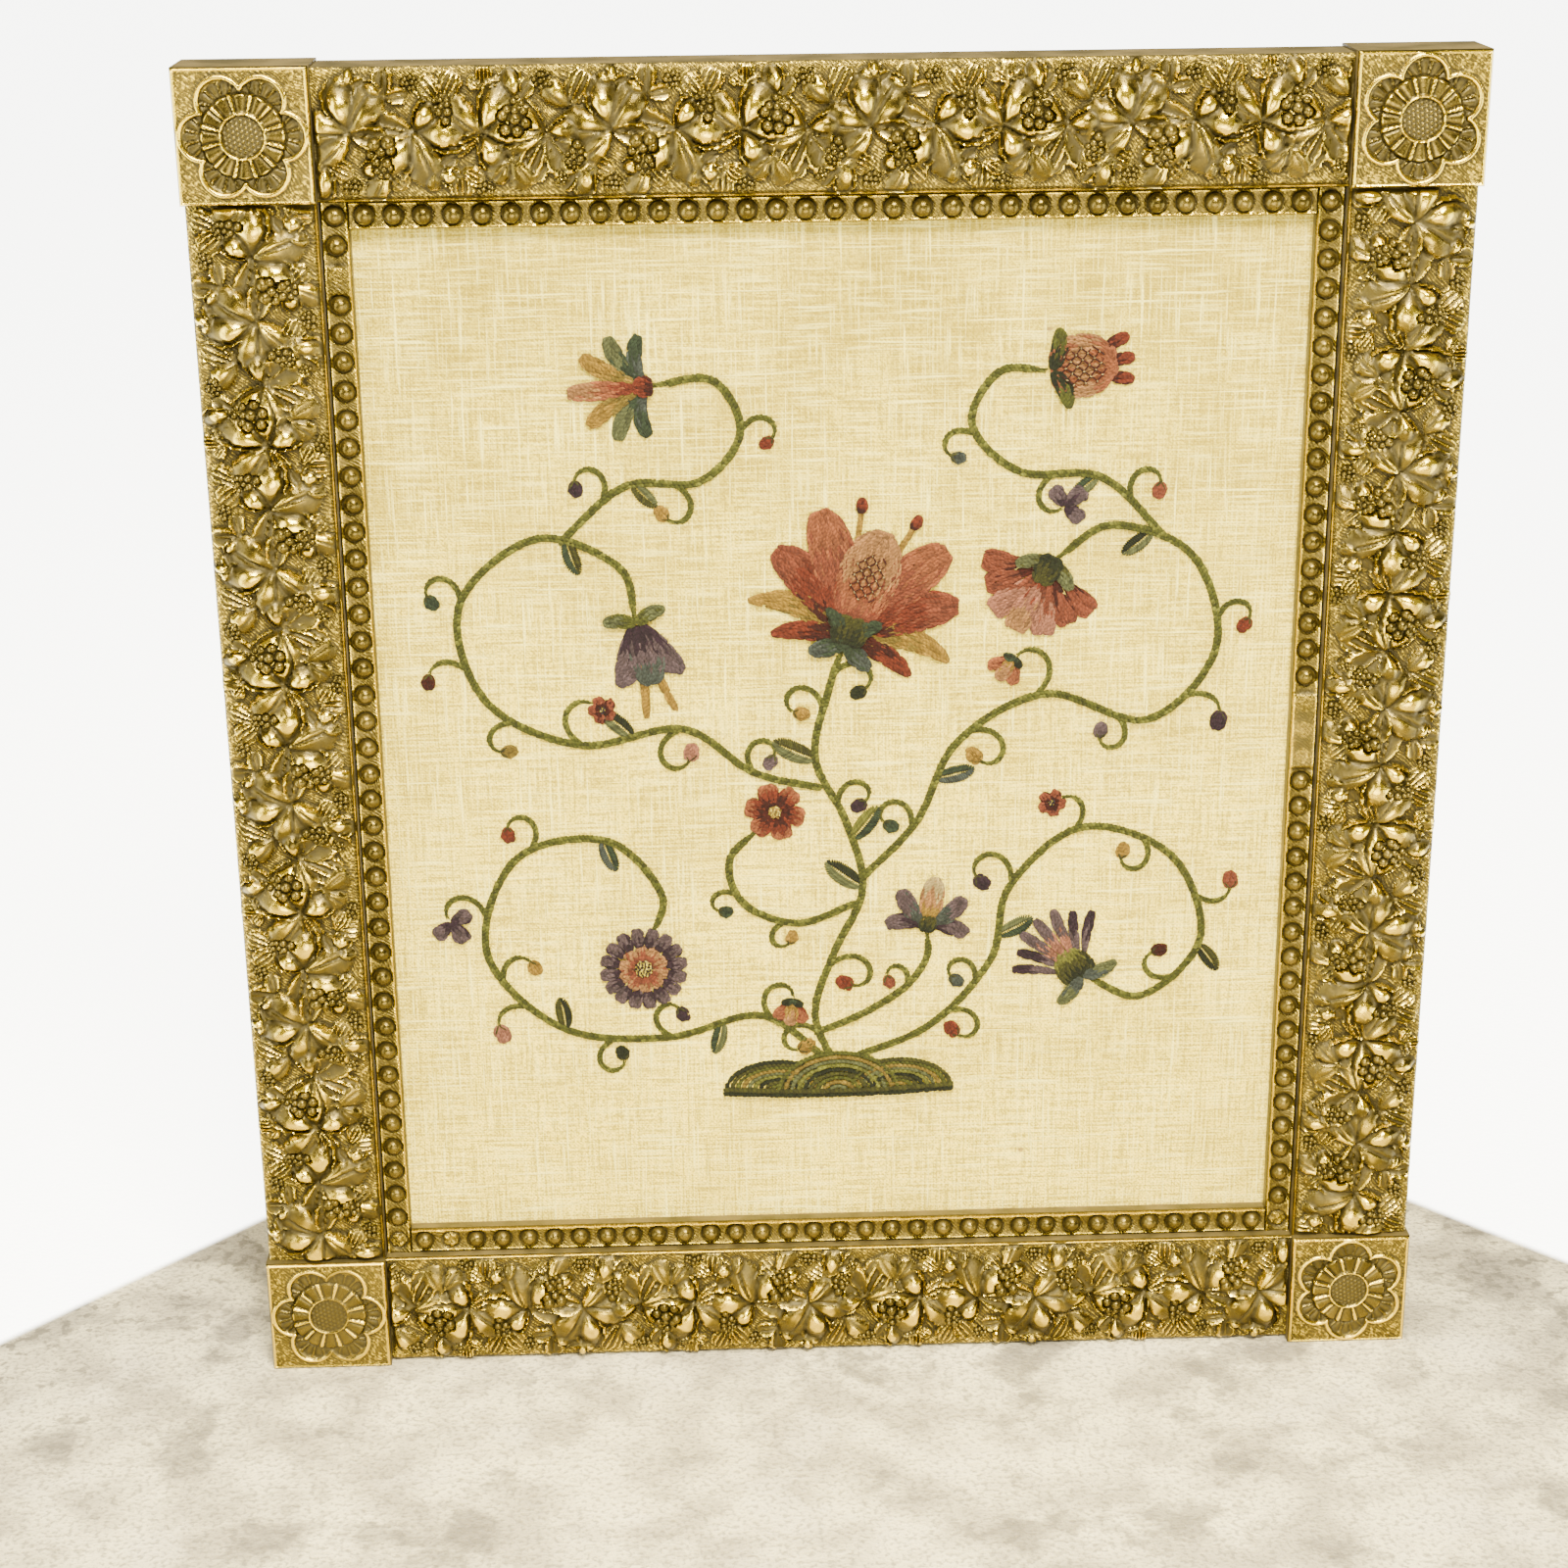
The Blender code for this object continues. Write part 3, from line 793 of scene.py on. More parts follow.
@dataclass(frozen=True)
class Leaf:
    """A vine leaf of the band: its root, its heading in degrees, its reach and its own seed."""

    along: float
    across: float
    heading: float
    reach: float
    seed: int
    small: bool = False
    # Each lobe's swing from the heading in degrees and its share of the reach
    small_lobes: ClassVar = ((-64, 0.80), (64, 0.84), (0, 1.00))
    large_lobes: ClassVar = ((-122, 0.66), (122, 0.66), (-62, 0.88), (62, 0.88), (0, 1.00))

    def carve(self, relief: Relief, shift: float, rise: float) -> None:
        """Raises the leaf on a relief.

        A lobe's half width is its breadth times t to 0.75 times (1 - t) to a power that makes its tip
        blunt or pointed, waved by its teeth, with t from 0 at the root to 1 at the tip. Its form comes
        from the leaf's own seed, as do its tilt to one side and where along the lobe it stands highest.

        Args:
            relief: The rail's relief.
            shift: Where the repeat starts.
            rise: The full height.
        """
        draw = np.random.default_rng(self.seed)
        area, du, dv = relief.window(self.along + shift, self.across, 1.25 * self.reach)
        best = np.zeros_like(du)
        shade = np.zeros_like(du)
        inside = np.zeros(du.shape, dtype=bool)
        for swing, share in self.small_lobes if self.small else self.large_lobes:
            turn = math.radians(self.heading + swing + draw.normal(0.0, 7.0))
            reach = self.reach * share * draw.uniform(0.92, 1.10)
            form = (LobeForm.RIMMED, LobeForm.DISHED, LobeForm.FLUTED, LobeForm.PUFFED)[draw.integers(4)]
            breadth = draw.uniform(0.32, 0.42)
            blunt = draw.uniform(0.34, 0.55)
            tilt = draw.choice((-1.0, 1.0)) * draw.uniform(0.12, 0.38)
            crest = draw.uniform(0.55, 1.15)
            run = (du * math.cos(turn) + dv * math.sin(turn)) / reach
            side = (dv * math.cos(turn) - du * math.sin(turn)) / reach
            t = np.clip(run, 0.001, 0.999)
            teeth = 1.0 + 0.17 * np.abs(np.sin(math.pi * (4.2 * t + 0.3))) * t - 0.08
            half = breadth * (1.43 + 1.80 * blunt) * t**0.75 * (1.0 - t) ** blunt * teeth
            s = side / half
            mask = (run > 0.0) & (run < 1.0) & (np.abs(s) < 1.0)
            s = np.clip(s, -1.0, 1.0)
            swell = 0.30 + 0.70 * np.sin(math.pi * t**crest) ** 0.8
            lobe = rise * swell * form.profile(t, s, side * reach) * (1.0 + tilt * s)
            # Painted shade on the lobe's body for the dark room it mirrors, and a painted highlight where the
            # lobe stands highest.
            body = form.painted_shading * ramp((1.0 - np.abs(s)) / 0.18)
            body -= 0.34 * ramp((lobe / rise - 0.84) / 0.20)
            shade = np.where(mask & (lobe > best), body, shade)
            best = np.where(mask, np.maximum(best, lobe), best)
            inside |= mask
        relief.cover(area, best, inside, lip=0.35 * MM)
        relief.painted_shading[area] = np.where(inside, shade, relief.painted_shading[area])


@dataclass(frozen=True)
class Bunch:
    """A bunch of berries: where it starts, where it heads in degrees, its rows and its berries' radii."""

    along: float
    across: float
    heading: float
    rows: tuple[int, ...]
    first: float
    last: float

    def balls(self, shift: float) -> Array:
        """Rows of u, v and radius: the berries lie row by row, and each row's are smaller than the last's.

        Args:
            shift: Where the repeat starts.

        Returns:
            A row for each berry.
        """
        row = np.repeat(np.arange(len(self.rows)), self.rows)
        place = np.concatenate([np.arange(count) - (count - 1) / 2 for count in self.rows])
        radii = np.linspace(self.first, self.last, len(self.rows))
        forward = np.concatenate(([0.0], np.cumsum(0.84 * (radii[1:] + radii[:-1]))))
        wobble = np.sin(5.1 * np.arange(len(row)) + 1000.0 * self.along)
        size = radii[row] * (1.0 + 0.10 * wobble)
        p = forward[row] + 0.28 * size * np.roll(wobble, 1)
        q = place * 1.92 * radii[row] + 0.25 * size * np.roll(wobble, 2)
        turn = math.radians(self.heading)
        u = self.along + shift + p * math.cos(turn) - q * math.sin(turn)
        v = self.across + p * math.sin(turn) + q * math.cos(turn)
        return np.stack((u, v, size), axis=1)


# Leaves of one repeat: place along and across in mm, heading in degrees, reach in mm and seed
BIG_ROWS = (
    (18.0, 1.0, 108, 29.5, 21),
    (50.0, 1.0, -66, 30.0, 5),
    (84.0, 0.0, 74, 29.0, 8),
    (116.0, 0.0, -112, 29.5, 13),
)
SMALL_ROWS = (
    (64.0, 15.0, 62, 18.5, 31),
    (128.0, 12.0, 66, 20.0, 32),
    (5.0, -13.0, -98, 19.0, 33),
    (36.0, -17.0, -112, 16.0, 34),
    (98.0, -12.0, -62, 19.0, 35),
    (36.0, 18.0, 80, 15.5, 36),
    (74.0, -17.0, -84, 15.5, 37),
    (102.0, 16.0, 108, 16.5, 38),
    (61.0, -18.0, -40, 13.0, 39),
    (131.0, -20.0, -60, 13.5, 40),
    (86.0, 22.0, 90, 11.5, 41),
    (19.0, 23.0, 84, 11.0, 42),
)
# Bunches of one repeat: place in mm, heading, berries in each row, first and last radius in mm
BUNCH_ROWS = (
    (33.0, -3.0, -84, (2, 3, 2, 3, 2), 3.5, 1.5),
    (99.5, 2.0, 78, (2, 3, 3, 2, 1), 3.4, 1.4),
    (66.0, 7.0, 100, (1, 2, 3, 3, 2), 2.4, 1.2),
    (1.0, -5.0, -104, (1, 2, 3, 3, 2), 2.4, 1.2),
    (46.0, 24.0, 20, (2, 3, 3, 2), 1.5, 1.2),
    (15.0, -26.0, 10, (2, 3, 3, 2), 1.5, 1.2),
    (82.0, -27.0, -10, (2, 3, 2, 2), 1.4, 1.2),
    (112.0, 25.0, 14, (2, 3, 3, 3), 1.5, 1.2),
    (123.0, -24.0, 60, (2, 2, 3), 1.4, 1.1),
)
BIG_LEAVES = tuple(Leaf(u * MM, v * MM, turn, reach * MM, seed) for u, v, turn, reach, seed in BIG_ROWS)
SMALL_LEAVES = tuple(Leaf(u * MM, v * MM, turn, reach * MM, seed, True)
                     for u, v, turn, reach, seed in SMALL_ROWS)
BUNCHES = tuple(Bunch(u * MM, v * MM, turn, rows, first * MM, last * MM)
                for u, v, turn, rows, first, last in BUNCH_ROWS)


def add_balls(name: str, rows: Array, rise: Array, relief: Relief, detail: tuple[int, int],
              finish: Material, slot: str) -> None:
    """Makes a piece of domes that reach a little past their middle, each closed below.

    A ring at latitude a has the radius r cos a and stands r sin a above the middle, with a from -28
    to 66 degrees. The foot and the top close in one point each.

    Args:
        name: The piece's name.
        rows: Places along and outward, and the radii.
        rise: Heights of the balls' middles above the relief's level.
        relief: The relief that they sit on.
        detail: Corners of a ring and number of rings.
        finish: The gilding.
        slot: The record's material slot.
    """
    sides, rings = detail
    latitude = np.radians(np.linspace(-28.0, 66.0, rings))
    angle = np.arange(sides) * (2 * math.pi / sides)
    poles = [0.0, 0.0]
    unit_u = np.concatenate(((np.cos(latitude)[:, None] * np.cos(angle)).ravel(), poles))
    unit_v = np.concatenate(((np.cos(latitude)[:, None] * np.sin(angle)).ravel(), poles))
    unit_h = np.concatenate((np.repeat(np.sin(latitude), sides), [-0.6, 1.0]))
    u, v, radius = (column[:, None] for column in rows.T)
    rise = (relief.level + rise)[:, None] + radius * unit_h
    points = relief.seat.place(u + radius * unit_u, v + radius * unit_v, rise)
    # Painted shade at each dome's foot, fading to brighter gilding towards its top.
    hollow = np.tile(0.98 - 0.42 * ramp(1.1 * unit_h), len(rows))
    values = {"hollow": hollow, "ground": 0 * hollow, "part": 0 * hollow}
    make_piece(name, points, ring_faces(len(rows), sides, rings), finish, slot, values)


@dataclass
class Member:
    """A piece of the frame that takes the place of a CAD node: a slab whose front is a relief."""

    node: str
    along: tuple[float, float]
    slot: ClassVar[str]
    drop: ClassVar[float]
    cell: ClassVar[float]

    def carve(self, relief: Relief) -> None:
        """Shapes the relief."""
        raise NotImplementedError

    def furnish(self, relief: Relief, finish: Material) -> None:
        """Adds the pieces that lie on the relief, if there are any.

        Args:
            relief: The carved relief.
            finish: The gilding.
        """

    def build(self, block_face: float, finish: Material) -> Piece:
        """Builds the piece and what lies on it.

        Args:
            block_face: The corner blocks' face, as a y.
            finish: The gilding.

        Returns:
            The piece that replaces the node.
        """
        seat = Seat.of_node(self.node, self.along)
        relief = Relief(seat, seat.back - (block_face + self.drop), self.cell)
        self.carve(relief)
        piece = relief.slab(f"gilt_{self.node}", finish, self.slot)
        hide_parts(self.node)
        self.furnish(relief, finish)
        return piece


@dataclass
class LeafBand(Member):
    """A rail: vine leaves, stems and berries in relief on a punched ground."""

    slot: ClassVar[str] = "gilt_band"
    drop: ClassVar[float] = RAIL_DROP
    cell: ClassVar[float] = 0.94 * MM
    repeat: float = 131.0 * MM
    leaf_rise: float = 6.9 * MM
    small_share: float = 0.72
    stem_rise: float = 2.6 * MM
    stem_half: float = 1.5 * MM

    def stem_line(self, u: Array) -> Array:
        """The vine's wavering middle line over u."""
        return 3.0 * MM * np.sin(2 * math.pi * (u / self.repeat) * 2 + 0.9)

    def shifts(self, relief: Relief) -> list[float]:
        """Where each repeat of the design starts along the rail."""
        count = math.ceil(relief.length / self.repeat) + 1
        return [number * self.repeat - relief.length / 2 for number in range(count)]

    def carve(self, relief: Relief) -> None:
        """Raises stems, small leaves and large leaves, and cuts the edges' grooves.

        Args:
            relief: The rail's relief.
        """
        across, up = np.meshgrid(relief.u, relief.v)
        start = -relief.length / 2
        relief.height += 0.5 * MM * np.sin(across / (5.3 * MM)) * np.sin(up / (4.1 * MM) + across / (9 * MM))
        off = np.abs(up - self.stem_line(across - start))
        stem = self.stem_rise * arc(off / self.stem_half)
        relief.height = np.maximum(relief.height, stem)
        for leaves, share in ((SMALL_LEAVES, self.small_share), (BIG_LEAVES, 1.0)):
            for shift in self.shifts(relief):
                for leaf in leaves:
                    leaf.carve(relief, shift, share * self.leaf_rise)
        self.press(relief)
        self.trim(relief, across, up)

    def berry_rows(self, relief: Relief) -> Array:
        """The berries of every repeat that lie wholly on the rail, as rows of u, v and radius.

        Args:
            relief: The rail's relief.

        Returns:
            A row for each berry.
        """
        rows = np.concatenate([bunch.balls(shift) for shift in self.shifts(relief) for bunch in BUNCHES])
        inside = np.abs(rows[:, 0]) < relief.length / 2 - 3.2 * MM
        inside &= (rows[:, 1] < relief.width / 2 - 1.4 * MM) & (rows[:, 1] > 4.2 * MM - relief.width / 2)
        return rows[inside]

    def press(self, relief: Relief) -> None:
        """Presses the relief down under each berry, and gives it painted shade, which shows as a dark ring
        round the berry.

        Args:
            relief: The rail's relief.
        """
        for u, v, radius in self.berry_rows(relief):
            area, du, dv = relief.window(u, v, 1.25 * radius)
            under = np.hypot(du, dv) < 1.10 * radius
            seat = np.minimum(relief.height[area], 2.3 * MM + 0.32 * radius)
            relief.height[area] = np.where(under, seat, relief.height[area])
            relief.ground[area] = np.where(under, 0.0, relief.ground[area])
            # Painted shade round the berry's foot.
            relief.painted_shading[area] = np.where(under, 0.22, relief.painted_shading[area])

    def trim(self, relief: Relief, across: Array, up: Array) -> None:
        """Leaves a groove at both ends and a fillet along the inner edge, and rounds the outer edge.

        Args:
            relief: The rail's relief.
            across: The grid's places along.
            up: Its places outward.
        """
        to_end = relief.length / 2 - np.abs(across)
        to_inner = up + relief.width / 2
        to_outer = relief.width / 2 - up
        relief.height *= ramp(to_end / (2.6 * MM)) ** 0.6
        relief.height -= 2.8 * MM * ramp(1.0 - to_end / (2.0 * MM))
        relief.height *= ramp((to_inner - 1.6 * MM) / (2.0 * MM)) ** 0.5
        fillet = 1.5 * MM * arc((to_inner - 0.9 * MM) / (0.9 * MM))
        relief.height = np.maximum(relief.height, fillet)
        relief.ground *= to_inner > 2.0 * MM
        rounding = ramp(1.0 - to_outer / (1.8 * MM)) ** 2
        relief.height -= 1.1 * MM * rounding

    def furnish(self, relief: Relief, finish: Material) -> None:
        """Sets the berries on the relief.

        Args:
            relief: The carved relief.
            finish: The gilding.
        """
        rows = self.berry_rows(relief)
        column = np.clip(np.searchsorted(relief.u, rows[:, 0]), 0, len(relief.u) - 1)
        line = np.clip(np.searchsorted(relief.v, rows[:, 1]), 0, len(relief.v) - 1)
        rise = np.maximum(relief.height[line, column], 0.8 * MM) + 0.30 * rows[:, 2]
        add_balls(f"berries_{self.node}", rows, rise, relief, (8, 4), finish, self.slot)


@dataclass
class CornerBlock(Member):
    """A square block with a fluted rosette inside a rim of six lobes."""

    slot: ClassVar[str] = "gilt_block"
    drop: ClassVar[float] = 0.0
    cell: ClassVar[float] = 0.60 * MM
    lobe_turn: float = 0.0
    worn: float = 0.0
    pebble_radius: float = 10.2 * MM
    collar_radius: float = 11.3 * MM
    petal_root: float = 12.3 * MM
    petal_tip: float = 21.3 * MM
    petals: int = 12
    petal_rise: float = 2.1 * MM
    pebble_pitch: float = 2.25 * MM
    lobe_offset: float = 20.0 * MM
    lobe_radius: float = 11.6 * MM
    rim_half: float = 1.35 * MM
    rim_rise: float = 1.75 * MM
    fan_turn: float = 30.0
    fan_rise: float = 1.25 * MM
    border: float = 2.2 * MM

    @staticmethod
    def flutes(angle: Array, pitch: float, ridge: float) -> Array:
        """Barrel petals with a sharp ridge between two of them and a thin gap on both of its sides."""
        part = phase(angle, pitch)
        return 0.62 * ridge * arc(part / 0.62) + ridge * ramp((part - 0.75) / 0.12) ** 0.7

    def carve(self, relief: Relief) -> None:
        """Raises the rosette.

        It has pebbles on a six-way lattice inside a collar, petals round them, and a fan in each lobe.

        Args:
            relief: The block's relief.
        """
        x, y = np.meshgrid(relief.u, relief.v)
        radius, angle = np.hypot(x, y), np.arctan2(y, x) - self.lobe_turn
        step = 2 * math.pi / 6
        near = (angle + step / 2) % step - step / 2
        lobe_x, lobe_y = radius * np.cos(near) - self.lobe_offset, radius * np.sin(near)
        from_lobe = np.hypot(lobe_x, lobe_y)

        fan_x, fan_y = lobe_x + 5.0 * MM, lobe_y
        fan_angle, fan_radius = np.arctan2(fan_y, fan_x), np.hypot(fan_x, fan_y)
        fan_step = math.radians(self.fan_turn)
        fan_end = 14.6 * MM - 1.7 * MM * phase(fan_angle, fan_step) ** 2
        fan = self.flutes(fan_angle, fan_step, self.fan_rise) * np.clip(fan_radius / (9 * MM), 0.3, 1.0)
        fan = np.where(fan_radius > fan_end, -0.2 * MM, fan - 1.5 * MM)
        in_lobe = from_lobe < self.lobe_radius
        height = np.where(in_lobe, fan, -0.15 * MM)
        off_rim = np.abs(from_lobe - self.lobe_radius - 0.2 * MM)
        rim = self.rim_rise * ramp((self.rim_half - off_rim) / (0.8 * MM)) ** 0.6
        on_rim = radius > self.petal_tip - 0.2 * MM
        height = np.where(on_rim & (off_rim < self.rim_half), np.maximum(height, rim), height)

        petal_step = 2 * math.pi / self.petals
        part = phase(angle, petal_step)
        petal_end = self.petal_tip - 1.3 * MM * part**2 + 1.1 * MM * (part > 0.8)
        disc = radius < petal_end
        rolled = ramp((petal_end - radius) / (0.9 * MM)) ** 0.6
        flute = self.flutes(angle, petal_step, self.petal_rise) - 0.35 * MM
        height = np.where(disc, flute * rolled, height)
        moat = (radius >= petal_end) & (radius < petal_end + 0.9 * MM)
        height = np.where(moat, -1.6 * MM, height)
        collar = 2.1 * MM * ramp((0.95 * MM - np.abs(radius - self.collar_radius)) / (0.6 * MM)) ** 0.5
        height = np.where(radius < self.petal_root, np.maximum(collar, 0.0), height)
        pitch = 2 * math.pi / self.pebble_pitch
        slants = [0.1 + math.pi * number / 3 for number in range(3)]
        ways = [pitch * (x * math.cos(slant) + y * math.sin(slant)) for slant in slants]
        pebbles = (np.cos(ways[0]) + np.cos(ways[1]) + np.cos(ways[2])) / 3.0
        dome = 0.75 * MM * (1.0 - (radius / self.pebble_radius) ** 2) + 0.85 * MM * pebbles
        height = np.where(radius < self.pebble_radius, dome, height)

        height *= 1.0 - self.worn * ramp(0.55 + 0.45 * np.sin(x / (9 * MM) + 1.0))
        to_edge = np.minimum(relief.length / 2 - np.abs(x), relief.width / 2 - np.abs(y))
        edge = 0.8 * MM * ramp(1.0 - np.abs(to_edge - 1.3 * MM) / (0.9 * MM)) ** 0.6
        outside = ~in_lobe | (to_edge < 1.2 * MM)
        height = np.where((to_edge < self.border) & outside, np.maximum(height, edge), height)
        height -= 1.0 * MM * ramp(1.0 - to_edge / (1.3 * MM)) ** 2
        relief.height = np.minimum(height, ROSETTE_RISE)
        bare = ~in_lobe & ~disc & ~moat & (off_rim > self.rim_half) & (to_edge > self.border)
        relief.ground = np.where(bare, 1.0 - 0.3 * self.worn, 0.0)
        petals = disc & (radius > self.collar_radius)
        barrel = petals & (part < 0.56)
        gap = petals & (part >= 0.56) & (part < 0.76)
        sunk_fan = in_lobe & ~disc & ~moat & (fan_radius < fan_end)
        on_ridge = disc & (radius > self.petal_root) & (part > 0.80)
        # Painted shade on the barrels, the sunk fans, the pebbles, the gaps and the moat, and a painted
        # highlight on the ridges.
        relief.painted_shading = 0.18 * barrel + 0.26 * sunk_fan + 0.30 * (radius < self.pebble_radius)
        relief.painted_shading += 0.40 * (moat | gap) - 0.20 * on_ridge


@dataclass
class BeadStrip(Member):
    """An inner strip: a shallow trough with a row of beads, some of them lost."""

    slot: ClassVar[str] = "gilt_bead"
    drop: ClassVar[float] = STRIP_DROP
    cell: ClassVar[float] = 1.0 * MM
    lost: tuple[int, ...] = ()
    smooth: tuple[tuple[float, float], ...] = ()
    pitch: float = 15.0 * MM
    bead_radius: float = 5.1 * MM
    bead_lift: float = 0.9 * MM
    socket: float = 5.25 * MM
    strip_width: float = 14.7 * MM

    def places(self, length: float) -> Array:
        """The beads' places along a strip, the lost ones among them."""
        reach = length - self.strip_width
        return np.linspace(-reach / 2, reach / 2, round(reach / self.pitch) + 1)

    def carve(self, relief: Relief) -> None:
        """Shapes the strip: sockets, webs between them, a fillet on each edge, and lost beads' stubs.

        Args:
            relief: The strip's relief.
        """
        places = self.places(relief.length)
        u, v = np.meshgrid(relief.u, relief.v)
        side = np.abs(v) / (relief.width / 2)
        step = places[1] - places[0]
        nearest = (u - places[0] + step / 2) % step - step / 2
        level = 1.4 * MM + 1.1 * MM * side**2
        web = level * ramp((np.hypot(nearest, v) - self.socket) / (0.7 * MM)) ** 0.6
        fillet = 2.7 * MM * ramp(1.0 - np.abs(side - 0.89) / 0.10) ** 0.5
        relief.height = np.maximum(np.maximum(web, fillet), 0.2 * MM)
        relief.height *= ramp((1.0 - side) / 0.05) ** 0.5
        for first, last in self.smooth:
            filler = ramp((u - first) / (0.8 * MM)) * ramp((last - u) / (0.8 * MM))
            pad = (3.1 * MM + 0.15 * MM * np.sin(u / (3 * MM))) * (side < 0.90) * np.sqrt(filler)
            relief.height = np.where(filler > 0.0, np.maximum(pad, 0.3 * MM), relief.height)
        relief.ground[:] = 0.25
        # Painted shade: the sunk strip is darker than the leaf band, more so inside its fillets; the lost
        # beads' stubs get none.
        relief.painted_shading = 0.10 + 0.16 * (side < 0.78)
        for number in self.lost:
            stub = np.hypot(u - places[number], v) < 4.3 * MM
            rough = 1.3 * MM + 0.5 * MM * np.sin(u / (1.1 * MM)) * np.sin(v / (0.9 * MM) + u / (2 * MM))
            relief.height = np.where(stub, np.maximum(relief.height, rough), relief.height)
            relief.painted_shading = np.where(stub, 0.0, relief.painted_shading)

    def furnish(self, relief: Relief, finish: Material) -> None:
        """Sets the beads that are left.

        Args:
            relief: The carved relief.
            finish: The gilding.
        """
        kept = np.delete(self.places(relief.length), list(self.lost))
        number = np.arange(len(kept))
        wobble = 0.22 * MM * np.sin(17.0 * number + len(kept))
        size = self.bead_radius * (1.0 - 0.03 * np.abs(np.sin(5.0 * number)))
        rows = np.stack((kept + wobble, 0.4 * wobble, size), axis=1)
        rise = np.full(len(kept), self.bead_lift)
        add_balls(f"beads_{self.node}", rows, rise, relief, (20, 7), finish, self.slot)


@dataclass
class LinenPanel:
    """The stretched linen, waved a little, which carries the stitches."""

    node: str = "linen_panel"
    thickness: float = 1.6 * MM
    wave: float = 1.2 * MM
    sight: tuple[float, float] = (494.2 * MM, 572.2 * MM)
    cell: float = 12.0 * MM

    def rise(self, x: Array, y: Array) -> Array:
        """Height of the cloth: three slanting waves that die out towards the strips.

        Args:
            x: Places across.
            y: Places up.

        Returns:
            The heights.
        """
        fade = ramp((self.sight[0] / 2 - np.abs(x)) / 0.060)
        fade = fade * ramp((self.sight[1] / 2 - np.abs(y)) / 0.060)
        slanting = 0.55 * np.sin(2 * math.pi * (x / 0.30 + y / 0.46) + 0.6)
        upright = 0.30 * np.sin(2 * math.pi * (x / 0.17 - y / 0.90))
        level = 0.15 * np.sin(2 * math.pi * (y / 0.13 + x / 0.80) + 1.1)
        return self.wave * fade * (slanting + upright + level)

    def build(self, seat: Seat, finish: Material) -> Piece:
        """Builds the cloth.

        Args:
            seat: Where it lies.
            finish: Its finish.

        Returns:
            A waved grid, which is thickened backwards.
        """
        u = np.linspace(-seat.length / 2, seat.length / 2, round(seat.length / self.cell) + 1)
        v = np.linspace(-seat.width / 2, seat.width / 2, round(seat.width / self.cell) + 1)
        across, up = np.meshgrid(u, v)
        grid = np.arange(across.size).reshape(across.shape)
        points = seat.place(across, up, self.rise(across, up))
        cloth = make_piece("linen_cloth", points, [grid_quads(grid)], finish, "linen")
        thicken = cloth.modifiers.new("cloth depth", "SOLIDIFY")
        thicken.thickness = self.thickness
        thicken.offset = -1.0
        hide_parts(self.node)
        return cloth

    def seat(self, block_face: float) -> Seat:
        """The seat whose back is the linen's own front level."""
        return replace(Seat.of_node(self.node, (1.0, 0.0)), back=block_face + LINEN_DROP)


@dataclass
class Route:
    """A smooth line in the panel's plane, with evenly spaced points."""

    points: Array

    def __post_init__(self) -> None:
        """Works out the run along the line."""
        steps = np.hypot(*np.diff(self.points, axis=0).T)
        self.run = np.concatenate(([0.0], np.cumsum(steps)))
        self.length = float(self.run[-1])

    @classmethod
    def through(cls, points: Sequence[tuple[float, float]]) -> Route:
        """A curve through given points in millimetres, each stretch a cubic set by its neighbours.

        Args:
            points: The points, in order.

        Returns:
            The route.
        """
        knots = np.array(points) * MM
        knots = np.concatenate((2 * knots[:1] - knots[1:2], knots, 2 * knots[-1:] - knots[-2:-1]))
        t = np.linspace(0.0, 1.0, 24, endpoint=False)[None, :, None]
        a, b, c, d = (knots[k:len(knots) - 3 + k, None, :] for k in range(4))
        curve = 2 * b + (c - a) * t + (2 * a - 5 * b + 4 * c - d) * t**2 + (3 * b - a - 3 * c + d) * t**3
        return cls(np.concatenate((0.5 * curve.reshape(-1, 2), knots[-2:-1])))

    @classmethod
    def curl(cls, start: Array, heading: float, length: float, turn: float, power: float = 1.5) -> Route:
        """A line whose heading turns by a power of the run, in degrees, so that it curls up at its end.

        Args:
            start: Its first point.
            heading: Its heading there.
            length: Its length.
            turn: The turn at its end.
            power: The power of the run.

        Returns:
            The route.
        """
        s = np.linspace(0.0, 1.0, 40)
        angle = np.radians(heading + turn * s**power)
        step = np.stack((np.cos(angle), np.sin(angle)), axis=1) * (length / 39)
        return cls(np.asarray(start) + np.concatenate((np.zeros((1, 2)), np.cumsum(step[1:], axis=0))))

    def at(self, share: Array) -> tuple[Array, Array]:
        """Points and left-hand normals at shares of the length.

        Args:
            share: The shares.

        Returns:
            Both, as rows of x, y.
        """
        run = np.asarray(share) * self.length
        point = np.stack([np.interp(run, self.run, self.points[:, k]) for k in (0, 1)], axis=-1)
        slope = np.gradient(self.points, self.run, axis=0)
        slope = np.stack([np.interp(run, self.run, slope[:, k]) for k in (0, 1)], axis=-1)
        slope /= np.linalg.norm(slope, axis=-1, keepdims=True)
        return point, np.stack((-slope[..., 1], slope[..., 0]), axis=-1)

    def heading(self, share: float) -> float:
        """The line's heading in degrees at a share of its length."""
        _, normal = self.at(np.array([share]))
        return math.degrees(math.atan2(-normal[0, 0], normal[0, 1]))


